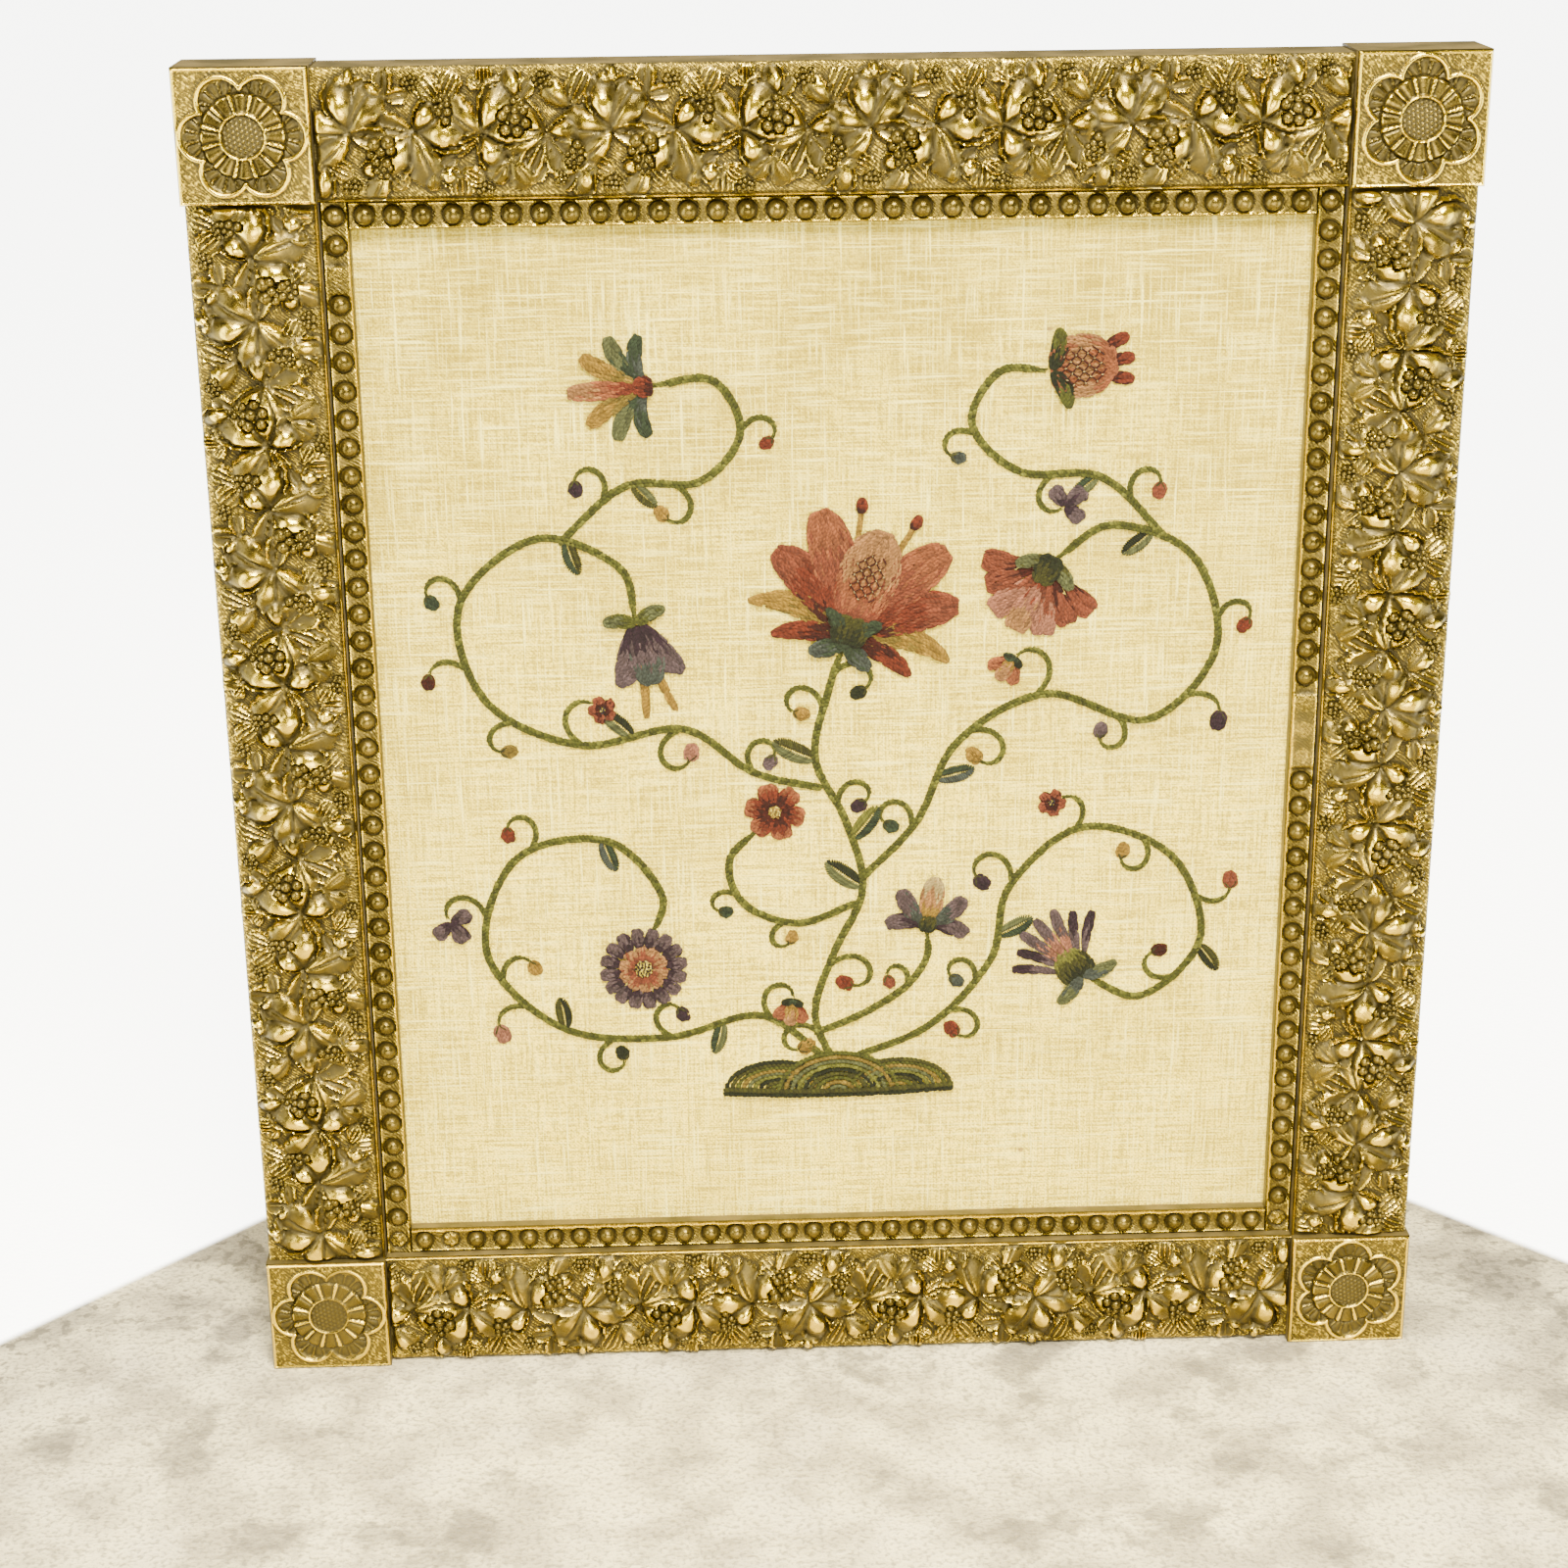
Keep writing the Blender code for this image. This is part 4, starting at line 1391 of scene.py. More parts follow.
@dataclass(frozen=True)
class PetalForm:
    """A petal's outline: its axis, its half width, the two powers of its shape and its root's share.

    The half width is the root's share, which fades out, plus t to the first power times (1 - t) to
    the second, scaled to the given half width at its widest.
    """

    axis: Route
    half: float
    shape: tuple[float, float]
    root: float

    def half_at(self, t: Array) -> Array:
        """The half width at t, from 0 at the root to 1 at the tip.

        Args:
            t: Places along the axis.

        Returns:
            The half widths.
        """
        grown, closed = self.shape
        whole = grown + closed
        peak = (grown / whole) ** grown * (closed / whole) ** closed
        return self.half * (self.root * (1.0 - t) + ramp(t) ** grown * ramp(1.0 - t) ** closed / peak)

    def place(self, t: Array, side: Array) -> Array:
        """Points at t along the petal and at a side from -1 to 1 across it."""
        point, normal = self.axis.at(t)
        return point + (side * self.half_at(t))[:, None] * normal


@dataclass
class Stitches:
    """Stitches gathered as arrays until one mesh is made of them."""

    plait_step: ClassVar[float] = 2.3 * MM
    plait_stitch: ClassVar[float] = 4.4 * MM
    row_step: ClassVar[float] = 2.6 * MM
    row_stitch: ClassVar[float] = 4.6 * MM
    padding: ClassVar[float] = 2.0 * MM
    seed: int
    batches: list[tuple[Array, ...]] = field(default_factory=list)

    def __post_init__(self) -> None:
        """Starts the seeded draws that vary the stitches a little."""
        self.draw = np.random.default_rng(self.seed)

    def add(self, start: Array, end: Array, width: float | Array, tint: Array, bow: Array | None = None,
            lift: float | Array = 0.0) -> None:
        """Adds straight or bowed stitches.

        Args:
            start: Rows of x, y.
            end: Rows of x, y.
            width: The thread's width on the cloth.
            tint: One linear colour or a row for each stitch.
            bow: How far the middle lies off the straight line.
            lift: How far the stitch lies above the cloth, on others.
        """
        count = len(start)
        bow = np.zeros((count, 2)) if bow is None else bow
        width = np.broadcast_to(width, count) * (1.0 + 0.10 * self.draw.normal(size=count))
        shade = np.clip(1.0 + 0.21 * self.draw.normal(size=(count, 1)), 0.6, 1.5)
        tint = np.broadcast_to(tint, (count, 3)) * shade
        lift = np.broadcast_to(lift, count) + 0.12 * MM * self.draw.random(count)
        self.batches.append((start, end, bow, width, tint, lift))

    def plait(self, route: Route, width: float) -> None:
        """Works a stem as a plait: pairs of slanting stitches that meet on its middle line.

        Args:
            route: The stem's line.
            width: The plait's width, which narrows towards its end.
        """
        step = self.plait_step
        stations = np.arange(0.0, route.length - 1.5 * step, step) / route.length
        length = self.plait_stitch / route.length
        grow = np.clip((1.0 - stations) * route.length / (14 * MM), 0.55, 1.0)
        for side in (-1.0, 1.0):
            share = stations + (0.5 * step / route.length if side > 0 else 0.0)
            start, normal = route.at(share)
            end, end_normal = route.at(np.minimum(share + length, 1.0))
            out = (side * 0.5 * width * grow)[:, None]
            pick = self.draw.random(len(share)) < 0.28
            tint = np.where(pick[:, None], Yarn.OLIVE_LIGHT.linear, Yarn.OLIVE.linear)
            self.add(start + 0.12 * out * normal, end + 0.62 * out * end_normal, 0.50 * width * grow, tint)

    def row(self, route: Route, width: float, tint: Yarn, lift: float = 0.0) -> None:
        """Works one row of stem stitch: short stitches side by side, each a little slanted.

        Args:
            route: The row's line.
            width: The thread's width.
            tint: Its wool.
            lift: How far it lies above the cloth.
        """
        step = self.row_step
        share = np.arange(0.0, max(route.length - step, step), step) / route.length
        start, normal = route.at(share)
        end, end_normal = route.at(np.minimum(share + self.row_stitch / route.length, 1.0))
        slant = 0.25 * width
        self.add(start - slant * normal, end + slant * end_normal, width, tint.linear, lift=lift)

    def lanes(self, form: PetalForm, grid: tuple[int, int], pitch: float,
              inset: float) -> tuple[Array, Array, Array, Array]:
        """Lays a petal out in lanes of stitches that follow its axis.

        Neighbouring lanes are half a stitch apart, and where the petal narrows, lanes end.

        Args:
            form: The petal's outline.
            grid: The number of lanes, and of stitches in a lane.
            pitch: The thread's own width.
            inset: The outermost lanes' share of the half width.

        Returns:
            Each stitch's start, end, bow and middle, the last as a share of the axis.
        """
        lanes, lengths = grid
        lane, part = (rows.ravel() for rows in np.meshgrid(range(lanes), range(lengths + 1), indexing="ij"))
        jitter = 0.22 * self.draw.normal(size=lane.size)
        stagger = 0.5 * (lane % 2)
        first = np.clip((part - stagger + 0.5 * jitter * (part > 0)) / lengths, 0.015, 1.0)
        last = np.clip((part + 1.12 - stagger) / lengths, 0.0, 0.985)
        middle = (first + last) / 2
        place = ((lane + 0.5) / lanes * 2.0 - 1.0) * inset
        spacing = np.maximum(2.0 * form.half_at(middle) / lanes, 1e-6)
        every = np.maximum(1, np.round(0.8 * pitch / spacing)).astype(int)
        keep = (last - first > 0.25 / lengths) & (lane % every == every // 2)
        start, end, centre = (form.place(t[keep], place[keep]) for t in (first, last, middle))
        return start, end, centre - (start + end) / 2, middle[keep]

    def petal(self, form: PetalForm, tints: Sequence[Yarn], lift: float = 0.0) -> None:
        """Fills a petal with long and short stitches over a coarse padding.

        Args:
            form: The petal's outline.
            tints: Its wools from root to tip.
            lift: How far it lies above the cloth.
        """
        palette = np.stack([tint.linear for tint in tints])
        length, width = form.axis.length, 2.0 * form.half
        under = (max(2, math.ceil(width / self.padding)), max(1, round(length / (14 * MM))))
        start, end, bow, t = self.lanes(form, under, self.padding, 0.80)
        shades = palette[np.clip((t * len(tints)).astype(int), 0, len(tints) - 1)]
        # The padding is tinted darker, as painted shade where it shows between the cover stitches.
        self.add(start, end, 2.7 * MM, 0.8 * shades, bow, lift - 0.55 * MM)
        cover = (max(3, math.ceil(width / (0.82 * THREAD))), max(1, round(length / (7.0 * MM))))
        start, end, bow, t = self.lanes(form, cover, THREAD, 1.0)
        blend = t * len(tints) + 0.30 * self.draw.normal(size=len(t))
        shades = palette[np.clip(blend.astype(int), 0, len(tints) - 1)]
        self.add(start, end, 1.36 * THREAD, shades, bow, lift)

    def fishbone(self, axis: Route, half: float, tints: Sequence[Yarn], lift: float = 0.0) -> None:
        """Works a leaf from its middle vein: slanting stitches to both edges, one tint for each half.

        Args:
            axis: The leaf's vein.
            half: Its half width.
            tints: The wools of its two halves.
            lift: How far it lies above the cloth.
        """
        share = np.arange(0.0, axis.length * 0.90, 1.25 * MM) / axis.length
        for side, tint in ((-1.0, tints[0]), (1.0, tints[-1])):
            ahead = np.minimum(share + 0.16, 0.995)
            out = half * ahead**0.55 * (1.0 - ahead) ** 0.5 / 0.485
            start, _ = axis.at(share)
            end, normal = axis.at(ahead)
            self.add(start, end + (side * out)[:, None] * normal, 1.45 * MM, tint.linear, lift=lift)

    def knots(self, centres: Array, radius: float, tint: Yarn, lift: float = 0.3 * MM) -> None:
        """Works French knots as short fat stitches.

        Args:
            centres: Rows of x, y.
            radius: Their radius.
            tint: Their wool.
            lift: How far they lie above the cloth.
        """
        turn = self.draw.random(len(centres)) * math.pi
        half = 0.45 * radius * np.stack((np.cos(turn), np.sin(turn)), axis=1)
        self.add(centres - half, centres + half, 1.9 * radius, tint.linear, lift=lift)

    def trellis(self, centre: Array, radii: tuple[float, float], turn: float, pitch: float, tint: Yarn,
                tie: Yarn, lift: float = 0.9 * MM) -> None:
        """Couches a diagonal lattice inside an ellipse, with a small tie at each crossing.

        Args:
            centre: The ellipse's middle.
            radii: Its radii along the flower's heading and across it.
            turn: The heading in degrees.
            pitch: The lattice's pitch.
            tint: The wool of the lattice.
            tie: The wool of the ties.
            lift: How far the lattice lies above the cloth.
        """
        scale = np.array(radii)
        ahead = bearing(turn)
        axes = np.array((ahead, (-ahead[1], ahead[0])))
        offsets = np.arange(-max(radii) + pitch / 2, max(radii), pitch)
        crossings = []
        for slant in (45.0, -45.0):
            along = bearing(slant + turn)
            out = np.array((-along[1], along[0]))
            p = (offsets[:, None] * out) @ axes.T / scale
            e = along @ axes.T / scale
            b, c, a = p @ e, (p**2).sum(axis=1) - 1.0, e @ e
            root = b**2 - a * c
            keep = root > 0.0
            reach = np.sqrt(root[keep]) / a
            middle = -b[keep] / a
            base = centre + offsets[keep][:, None] * out
            start, end = base + (middle - reach)[:, None] * along, base + (middle + reach)[:, None] * along
            self.add(start, end, 0.95 * MM, tint.linear, lift=lift)
            crossings.append((offsets[keep], out))
        (first, out_first), (second, out_second) = crossings
        grid_a, grid_b = np.meshgrid(first, second)
        spots = grid_a.reshape(-1, 1) * out_first + grid_b.reshape(-1, 1) * out_second
        local = spots @ axes.T / scale
        spots = centre + spots[(local**2).sum(axis=1) < 0.86]
        self.knots(spots, 0.75 * MM, tie, lift + 0.5 * MM)

    def mesh(self, name: str, seat: Seat, linen: LinenPanel, finish: Material) -> Piece:
        """Turns the gathered stitches into one piece.

        Each thread runs through three rings of four corners between two points: its width follows
        0.76, 1, 0.76 and its middle arches above the cloth, so that both ends go into the linen.

        Args:
            name: The piece's name.
            seat: Where the cloth lies.
            linen: The cloth, which gives the waves.
            finish: The wool's finish.

        Returns:
            The piece.
        """
        start, end, bow, width, tint, lift = map(np.concatenate, zip(*self.batches))
        t = np.array((0.0, 0.13, 0.5, 0.87, 1.0))
        line = start[:, None] * (1 - t)[None, :, None] + end[:, None] * t[None, :, None]
        line = line + bow[:, None] * (4 * t * (1 - t))[None, :, None]
        length = np.linalg.norm(end - start, axis=1) + 1e-9
        way = (end - start) / length[:, None]
        side = np.stack((-way[:, 1], way[:, 0]), axis=1)
        swell = np.array((0.0, 0.76, 1.0, 0.76, 0.0))
        arch = np.array((-0.30, 0.12, 0.34, 0.12, -0.30))
        angle = np.radians((55.0, 125.0, 195.0, 345.0))
        sides = len(angle)

        ring = slice(1, 4)
        half = 0.5 * width[:, None, None] * swell[None, ring, None]
        x = line[:, ring, None, 0] + side[:, None, None, 0] * half * np.cos(angle)
        y = line[:, ring, None, 1] + side[:, None, None, 1] * half * np.cos(angle)
        rise = width[:, None, None] * arch[None, ring, None] + 0.80 * half * np.sin(angle)
        rise = rise + lift[:, None, None]
        pole_rise = width[:, None] * arch[None, (0, 4)] + 0.6 * lift[:, None]
        x = np.concatenate((x.reshape(len(width), -1), line[:, (0, 4), 0]), axis=1)
        y = np.concatenate((y.reshape(len(width), -1), line[:, (0, 4), 1]), axis=1)
        rise = np.concatenate((rise.reshape(len(width), -1), pole_rise), axis=1)
        points = seat.place(x, y, linen.rise(x, y) + rise)

        faces = ring_faces(len(width), sides, 3)
        share = np.concatenate((np.repeat(t[ring], sides), (0.0, 1.0)))
        around = np.concatenate((np.tile(np.cos(angle), 3), (0.0, 0.0)))
        values = {"run": (length[:, None] * share).ravel(), "side": np.tile(around, len(width))}
        tints = np.repeat(tint, len(share), axis=0)
        return make_piece(name, points, faces, finish, "crewel_yarn", values, tints, 80.0)


@dataclass(frozen=True)
class Petal:
    """One petal of a flower: turn from its heading, reach, half width, bend, start, tints, layer."""

    turn: float
    reach: float
    half: float
    bend: float
    start: float
    tints: tuple[Yarn, ...]
    layer: int = 0
    shape: tuple[float, float] = (0.6, 0.5)
    root: float = 0.0


@dataclass(frozen=True)
class Heart:
    """A flower's heart: knots in a disc, or a couched lattice when it has two radii."""

    ahead: float
    radii: tuple[float, ...]
    tint: Yarn
    tie: Yarn = Yarn.CREAM
    layer: int = 1

    def sew(self, stitches: Stitches, root: Array, heading: float, scale: float) -> None:
        """Sews the heart.

        Args:
            stitches: Where its stitches go.
            root: The flower's root.
            heading: The flower's heading in degrees.
            scale: The flower's size.
        """
        middle = root + self.ahead * scale * MM * bearing(heading)
        if len(self.radii) == 2:
            radii = (self.radii[0] * scale * MM, self.radii[1] * scale * MM)
            lift = (1.6 + 0.4 * self.layer) * MM
            stitches.trellis(middle, radii, heading, 4.4 * MM, self.tint, self.tie, lift)
            return
        count = max(3, round((self.radii[0] * scale / 1.05) ** 2))
        number = np.arange(count)
        out = self.radii[0] * scale * MM * np.sqrt((number + 0.3) / count)
        spin = number * math.radians(137.508)
        spots = np.stack((out * np.cos(spin), out * np.sin(spin)), axis=1)
        stitches.knots(middle + spots, 1.15 * MM, self.tint, 0.9 * MM)


@dataclass(frozen=True)
class Bloom:
    """A kind of flower: its petals, its heart, and how far its root lies past the stem's end."""

    petals: tuple[Petal, ...]
    heart: Heart | None = None
    ahead: float = 0.0

    def sew(self, stitches: Stitches, stem: Route, scale: float, tilt: float = 0.0) -> None:
        """Sews the flower at a stem's end, the lowest layer first.

        Args:
            stitches: Where its stitches go.
            stem: The stem's line.
            scale: The flower's size.
            tilt: How far it turns from the stem's heading, in degrees.
        """
        heading = stem.heading(1.0)
        root = stem.points[-1] + self.ahead * scale * MM * bearing(heading)
        heading += tilt
        for petal in sorted(self.petals, key=lambda row: row.layer):
            course = heading + petal.turn
            start = root + petal.start * scale * MM * bearing(course)
            axis = Route.curl(start, course - petal.bend / 2, petal.reach * scale * MM, petal.bend, 1.0)
            form = PetalForm(axis, petal.half * scale * MM, petal.shape, petal.root)
            stitches.petal(form, petal.tints, 0.40 * MM * (petal.layer + 1))
        if self.heart:
            self.heart.sew(stitches, root, heading, scale)


def whorl(count: int, reach: float, half: float, start: float, tints: tuple[Yarn, ...], layer: int,
          first: float = 0.0, shape: tuple[float, float] = (0.7, 0.4)) -> tuple[Petal, ...]:
    """A full round of like petals."""
    return tuple(Petal(first + number * 360.0 / count, reach, half, 0.0, start, tints, layer, shape)
                 for number in range(count))


def fan(turns: Sequence[float], reach: float, half: float, bend: float, start: float, tints: tuple[Yarn, ...],
        layer: int, shape: tuple[float, float] = (0.7, 0.4)) -> tuple[Petal, ...]:
    """Petals spread to both sides, bent away from the middle."""
    return tuple(Petal(turn, reach, half, bend * (turn > 0) - bend * (turn < 0), start, tints, layer, shape)
                 for turn in turns)


GREAT_LILY = Bloom((
    *fan((-86, 86), 56, 6.5, 66, 2, (Yarn.GOLD, Yarn.MUSTARD), 0, (0.5, 0.7)),
    *fan((-104, 104), 38, 5.2, 40, 2, RUSTS, 1, (0.5, 0.6)),
    *fan((-56, 56), 58, 10.5, 34, 3, (Yarn.MAROON, Yarn.BRICK, Yarn.ROSE), 1, (0.7, 0.5)),
    *fan((-12, 12), 64, 1.3, 0, 4, (Yarn.MUSTARD,), 1, (0.2, 0.2)),
    *fan((-12, 12), 9, 3.0, 0, 65, RUSTS, 2, (0.6, 0.5)),
    *fan((-30, 30), 66, 11.5, 18, 4, (Yarn.BRICK, Yarn.ROSE, Yarn.SALMON), 2, (0.7, 0.45)),
    Petal(0, 56, 15.5, 0, 4, (Yarn.ROSE, Yarn.SALMON, Yarn.PEACH, Yarn.PEACH), 3, (0.6, 0.5)),
    *fan((-124, 124), 21, 5, -40, 0, (Yarn.TEAL, Yarn.SLATE), 4, (0.6, 0.6)),
    *fan((-50, 50), 19, 4, 30, 1, (Yarn.FOREST, Yarn.TEAL), 5, (0.6, 0.6)),
    Petal(0, 17, 8.5, 0, -4, DARK_GREENS, 5, (0.5, 0.4), 0.3),
), Heart(34, (13.5, 9.5), Yarn.MAROON, Yarn.CREAM, 4), 4)
DAISY = Bloom((
    *whorl(16, 13, 3.8, 12, PURPLES, 0),
    *whorl(10, 10, 3.8, 4.5, (Yarn.ROSE, Yarn.PEACH), 1, 18.0),
), Heart(0, (5.0,), Yarn.BROWN), 20)
CARNATION = Bloom((
    *fan((-66, -44, 44, 66), 30, 6.0, 16, 6, (Yarn.MAROON, Yarn.ROSE), 0, (1.1, 0.25)),
    *fan((-22, 22), 34, 6.6, 6, 6, (Yarn.ROSE, Yarn.PINK), 1, (1.1, 0.25)),
    Petal(0, 35, 6.6, 0, 6, (Yarn.BRICK, Yarn.PINK, Yarn.PEACH), 2, (1.1, 0.25)),
    *fan((-62, 62), 19, 3.8, -30, 0, (Yarn.MOSS, Yarn.SAGE), 3, (0.6, 0.6)),
    Petal(0, 17, 6.0, 0, -4, DARK_GREENS, 4, (0.5, 0.4), 0.4),
), None, 3)
HONEYSUCKLE = Bloom((
    *fan((-88, 88), 27, 4.0, 70, 2, (Yarn.SLATE, Yarn.TEAL), 0, (0.7, 0.4)),
    *fan((-58, 58), 32, 4.4, 48, 2, SEA_GREENS, 0, (0.7, 0.4)),
    *fan((-30, 30), 36, 4.6, 26, 2, (Yarn.GOLD, Yarn.MUSTARD), 1, (0.7, 0.4)),
    Petal(0, 40, 5.0, 0, 2, (Yarn.BRICK, Yarn.SALMON, Yarn.PEACH), 2, (0.7, 0.4)),
    Petal(0, 11, 5.0, 0, -4, RUSTS, 3, (0.5, 0.5), 0.3),
), None, 3)
BELL = Bloom((
    *fan((-9, 9), 44, 2.0, 8, 8, (Yarn.MUSTARD, Yarn.MUSTARD), 0, (0.5, 0.3)),
    *fan((-30, 30), 36, 7.8, 34, 0, PURPLES, 1, (0.5, 0.6)),
    Petal(0, 34, 8.8, 0, 0, (Yarn.PLUM, Yarn.LILAC, Yarn.SLATE), 2, (0.5, 0.45), 0.25),
    *fan((-106, 106), 18, 3.8, -50, 0, (Yarn.OLIVE, Yarn.SAGE), 3, (0.6, 0.6)),
), None, 2)
POMEGRANATE = Bloom((
    *fan((-16, 0, 16), 14, 3.4, 18, 31, RUSTS, 0, (0.5, 0.5)),
    Petal(0, 37, 15.5, 0, -1, (Yarn.SALMON, Yarn.PEACH, Yarn.SALMON), 1, (0.5, 0.5), 0.2),
    *fan((-72, 72), 24, 4.6, 50, 0, (Yarn.FOREST, Yarn.OLIVE), 2, (0.6, 0.6)),
), Heart(17, (13.0, 11.5), Yarn.MAROON, Yarn.CREAM, 2), 1)
THISTLE = Bloom((
    *fan((-46, -30, 30, 46), 28, 2.8, 20, 12, (Yarn.LILAC, Yarn.PLUM), 0, (0.8, 0.4)),
    *fan((-15, 0, 15), 32, 3.2, 6, 12, (Yarn.PINK, Yarn.LILAC), 1, (0.8, 0.4)),
    Petal(0, 22, 9.4, 0, -3, (Yarn.FOREST, Yarn.MOSS, Yarn.OLIVE_LIGHT), 2, (0.4, 0.5), 0.3),
    *fan((-104, 104), 22, 4.2, -34, 0, (Yarn.SLATE, Yarn.SAGE), 3, (0.6, 0.6)),
), None, 3)
IRIS = Bloom((
    *fan((-96, 96), 25, 5.2, 60, 1, PURPLES, 0, (0.7, 0.4)),
    *fan((-42, 42), 27, 5.4, -36, 2, (Yarn.SLATE, Yarn.LILAC), 1, (0.7, 0.4)),
    Petal(0, 30, 7.0, 0, 2, (Yarn.MUSTARD, Yarn.PEACH, Yarn.CREAM), 2, (0.6, 0.5)),
    Petal(0, 12, 4.6, 0, -4, DARK_GREENS, 3, (0.5, 0.4), 0.3),
), None, 3)
WINDFLOWER = Bloom(
    whorl(6, 15, 6.2, 3.0, (Yarn.MAROON, Yarn.BRICK, Yarn.SALMON), 0), Heart(0, (3.6,), Yarn.MUSTARD), 15)
TREFOIL = Bloom((
    *fan((-80, 80), 13, 4.6, 20, 0, PURPLES, 0, (0.8, 0.35)),
    Petal(0, 15, 5.0, 0, 0, PURPLES, 1, (0.8, 0.35)),
), None, 1)
SMALL_TULIP = Bloom((
    *fan((-38, 38), 16, 4.0, 34, 0, (Yarn.BRICK, Yarn.SALMON), 0, (0.7, 0.5)),
    Petal(0, 16, 4.0, 0, 0, (Yarn.MUSTARD, Yarn.PEACH), 1, (0.6, 0.5)),
    *fan((-70, 70), 8, 2.2, 20, -1, (Yarn.TEAL, Yarn.FOREST), 2, (0.6, 0.5)),
), None, 1)
CLUSTER = Bloom(whorl(5, 7, 3.4, 1.2, (Yarn.MAROON, Yarn.ROSE), 0), Heart(0, (2.0,), Yarn.PLUM), 6)


@dataclass(frozen=True)
class Shoot:
    """A side shoot: its place on the stem, its side, length and turn, and its bud or small flower."""

    share: float
    side: int
    length: float
    turn: float
    bud: Yarn | Bloom
    size: float = 11.0

    def sew(self, stitches: Stitches, stem: Route, width: float) -> None:
        """Works the shoot and its bud, with a leaf-green stitch on each side, or its small flower.

        Args:
            stitches: Where its stitches go.
            stem: The line of the stem that it leaves.
            width: The shoot's own width.
        """
        root, _ = stem.at(np.array([self.share]))
        route = Route.curl(root[0], stem.heading(self.share) + self.side * 28.0, self.length * MM, self.turn)
        stitches.plait(route, width)
        if isinstance(self.bud, Bloom):
            self.bud.sew(stitches, route, 1.0)
            return
        size = self.size * MM
        course = route.heading(1.0)
        start = route.points[-1] - 0.1 * size * bearing(course)
        bud = Route.curl(start, course, size, 0.14 * self.turn, 1.0)
        stitches.petal(PetalForm(bud, 0.37 * size, (0.5, 0.5), 0.1), (self.bud,), 0.4 * MM)
        tip, out = bud.at(np.array([0.45, 0.45]))
        both = np.array([[1.0], [-1.0]])
        stitches.add(np.repeat(bud.points[:1], 2, axis=0), tip + both * 0.34 * size * out, 1.2 * MM,
                     Yarn.MOSS.linear, lift=0.9 * MM)


@dataclass(frozen=True)
class Sprig:
    """A leaf on a stem: its place there, its side, its length and its two tints."""

    share: float
    side: int
    length: float
    tints: tuple[Yarn, Yarn]
    spread: float = 64.0

    def sew(self, stitches: Stitches, stem: Route) -> None:
        """Works the leaf, which springs from the stem.

        Args:
            stitches: Where its stitches go.
            stem: The line of the stem.
        """
        root, _ = stem.at(np.array([self.share]))
        heading = stem.heading(self.share) + self.side * self.spread
        axis = Route.curl(root[0], heading, self.length * MM, -self.side * 16.0, 1.0)
        stitches.fishbone(axis, 0.24 * self.length * MM, self.tints, 0.3 * MM)


STEMS = {
    "trunk": ((0, -196), (-13, -160), (-2, -122), (14, -84), (5, -44), (-12, -6), (-4, 34), (4, 58)),
    "low_left": ((-6, -188), (-44, -160), (-96, -172), (-156, -164), (-196, -118), (-178, -62), (-128, -52),
                 (-98, -84), (-104, -110)),
    "low_right": ((6, -188), (52, -168), (86, -128), (96, -84), (136, -50), (186, -68), (204, -118),
                  (172, -152), (140, -140)),
    "high_left": ((-7, -24), (-46, -14), (-84, 12), (-140, 4), (-190, 30), (-202, 84), (-160, 120),
                  (-116, 104), (-108, 74)),
    "high_right": ((13, -78), (44, -44), (66, 2), (114, 28), (170, 12), (206, 52), (192, 104), (148, 122),
                   (118, 104)),
    "crown_left": ((-148, 117), (-112, 148), (-72, 150), (-50, 176), (-64, 204), (-96, 202)),
    "crown_right": ((178, 113), (142, 148), (98, 152), (72, 178), (86, 206), (112, 206)),
    "mid_left": ((11, -92), (-22, -104), (-52, -92), (-60, -66), (-44, -48)),
    "mid_right": ((-14, -172), (14, -160), (38, -144), (50, -126), (50, -110)),
}
BLOOMS = (
    ("trunk", GREAT_LILY, 1.06, 0.0),
    ("low_left", DAISY, 1.0, 0.0),
    ("low_right", THISTLE, 1.0, -30.0),
    ("high_left", BELL, 1.05, 0.0),
    ("high_right", CARNATION, 1.05, 30.0),
    ("crown_left", HONEYSUCKLE, 1.0, 0.0),
    ("crown_right", POMEGRANATE, 1.0, 10.0),
    ("mid_left", WINDFLOWER, 0.95, 0.0),
    ("mid_right", IRIS, 0.95, -10.0),
)
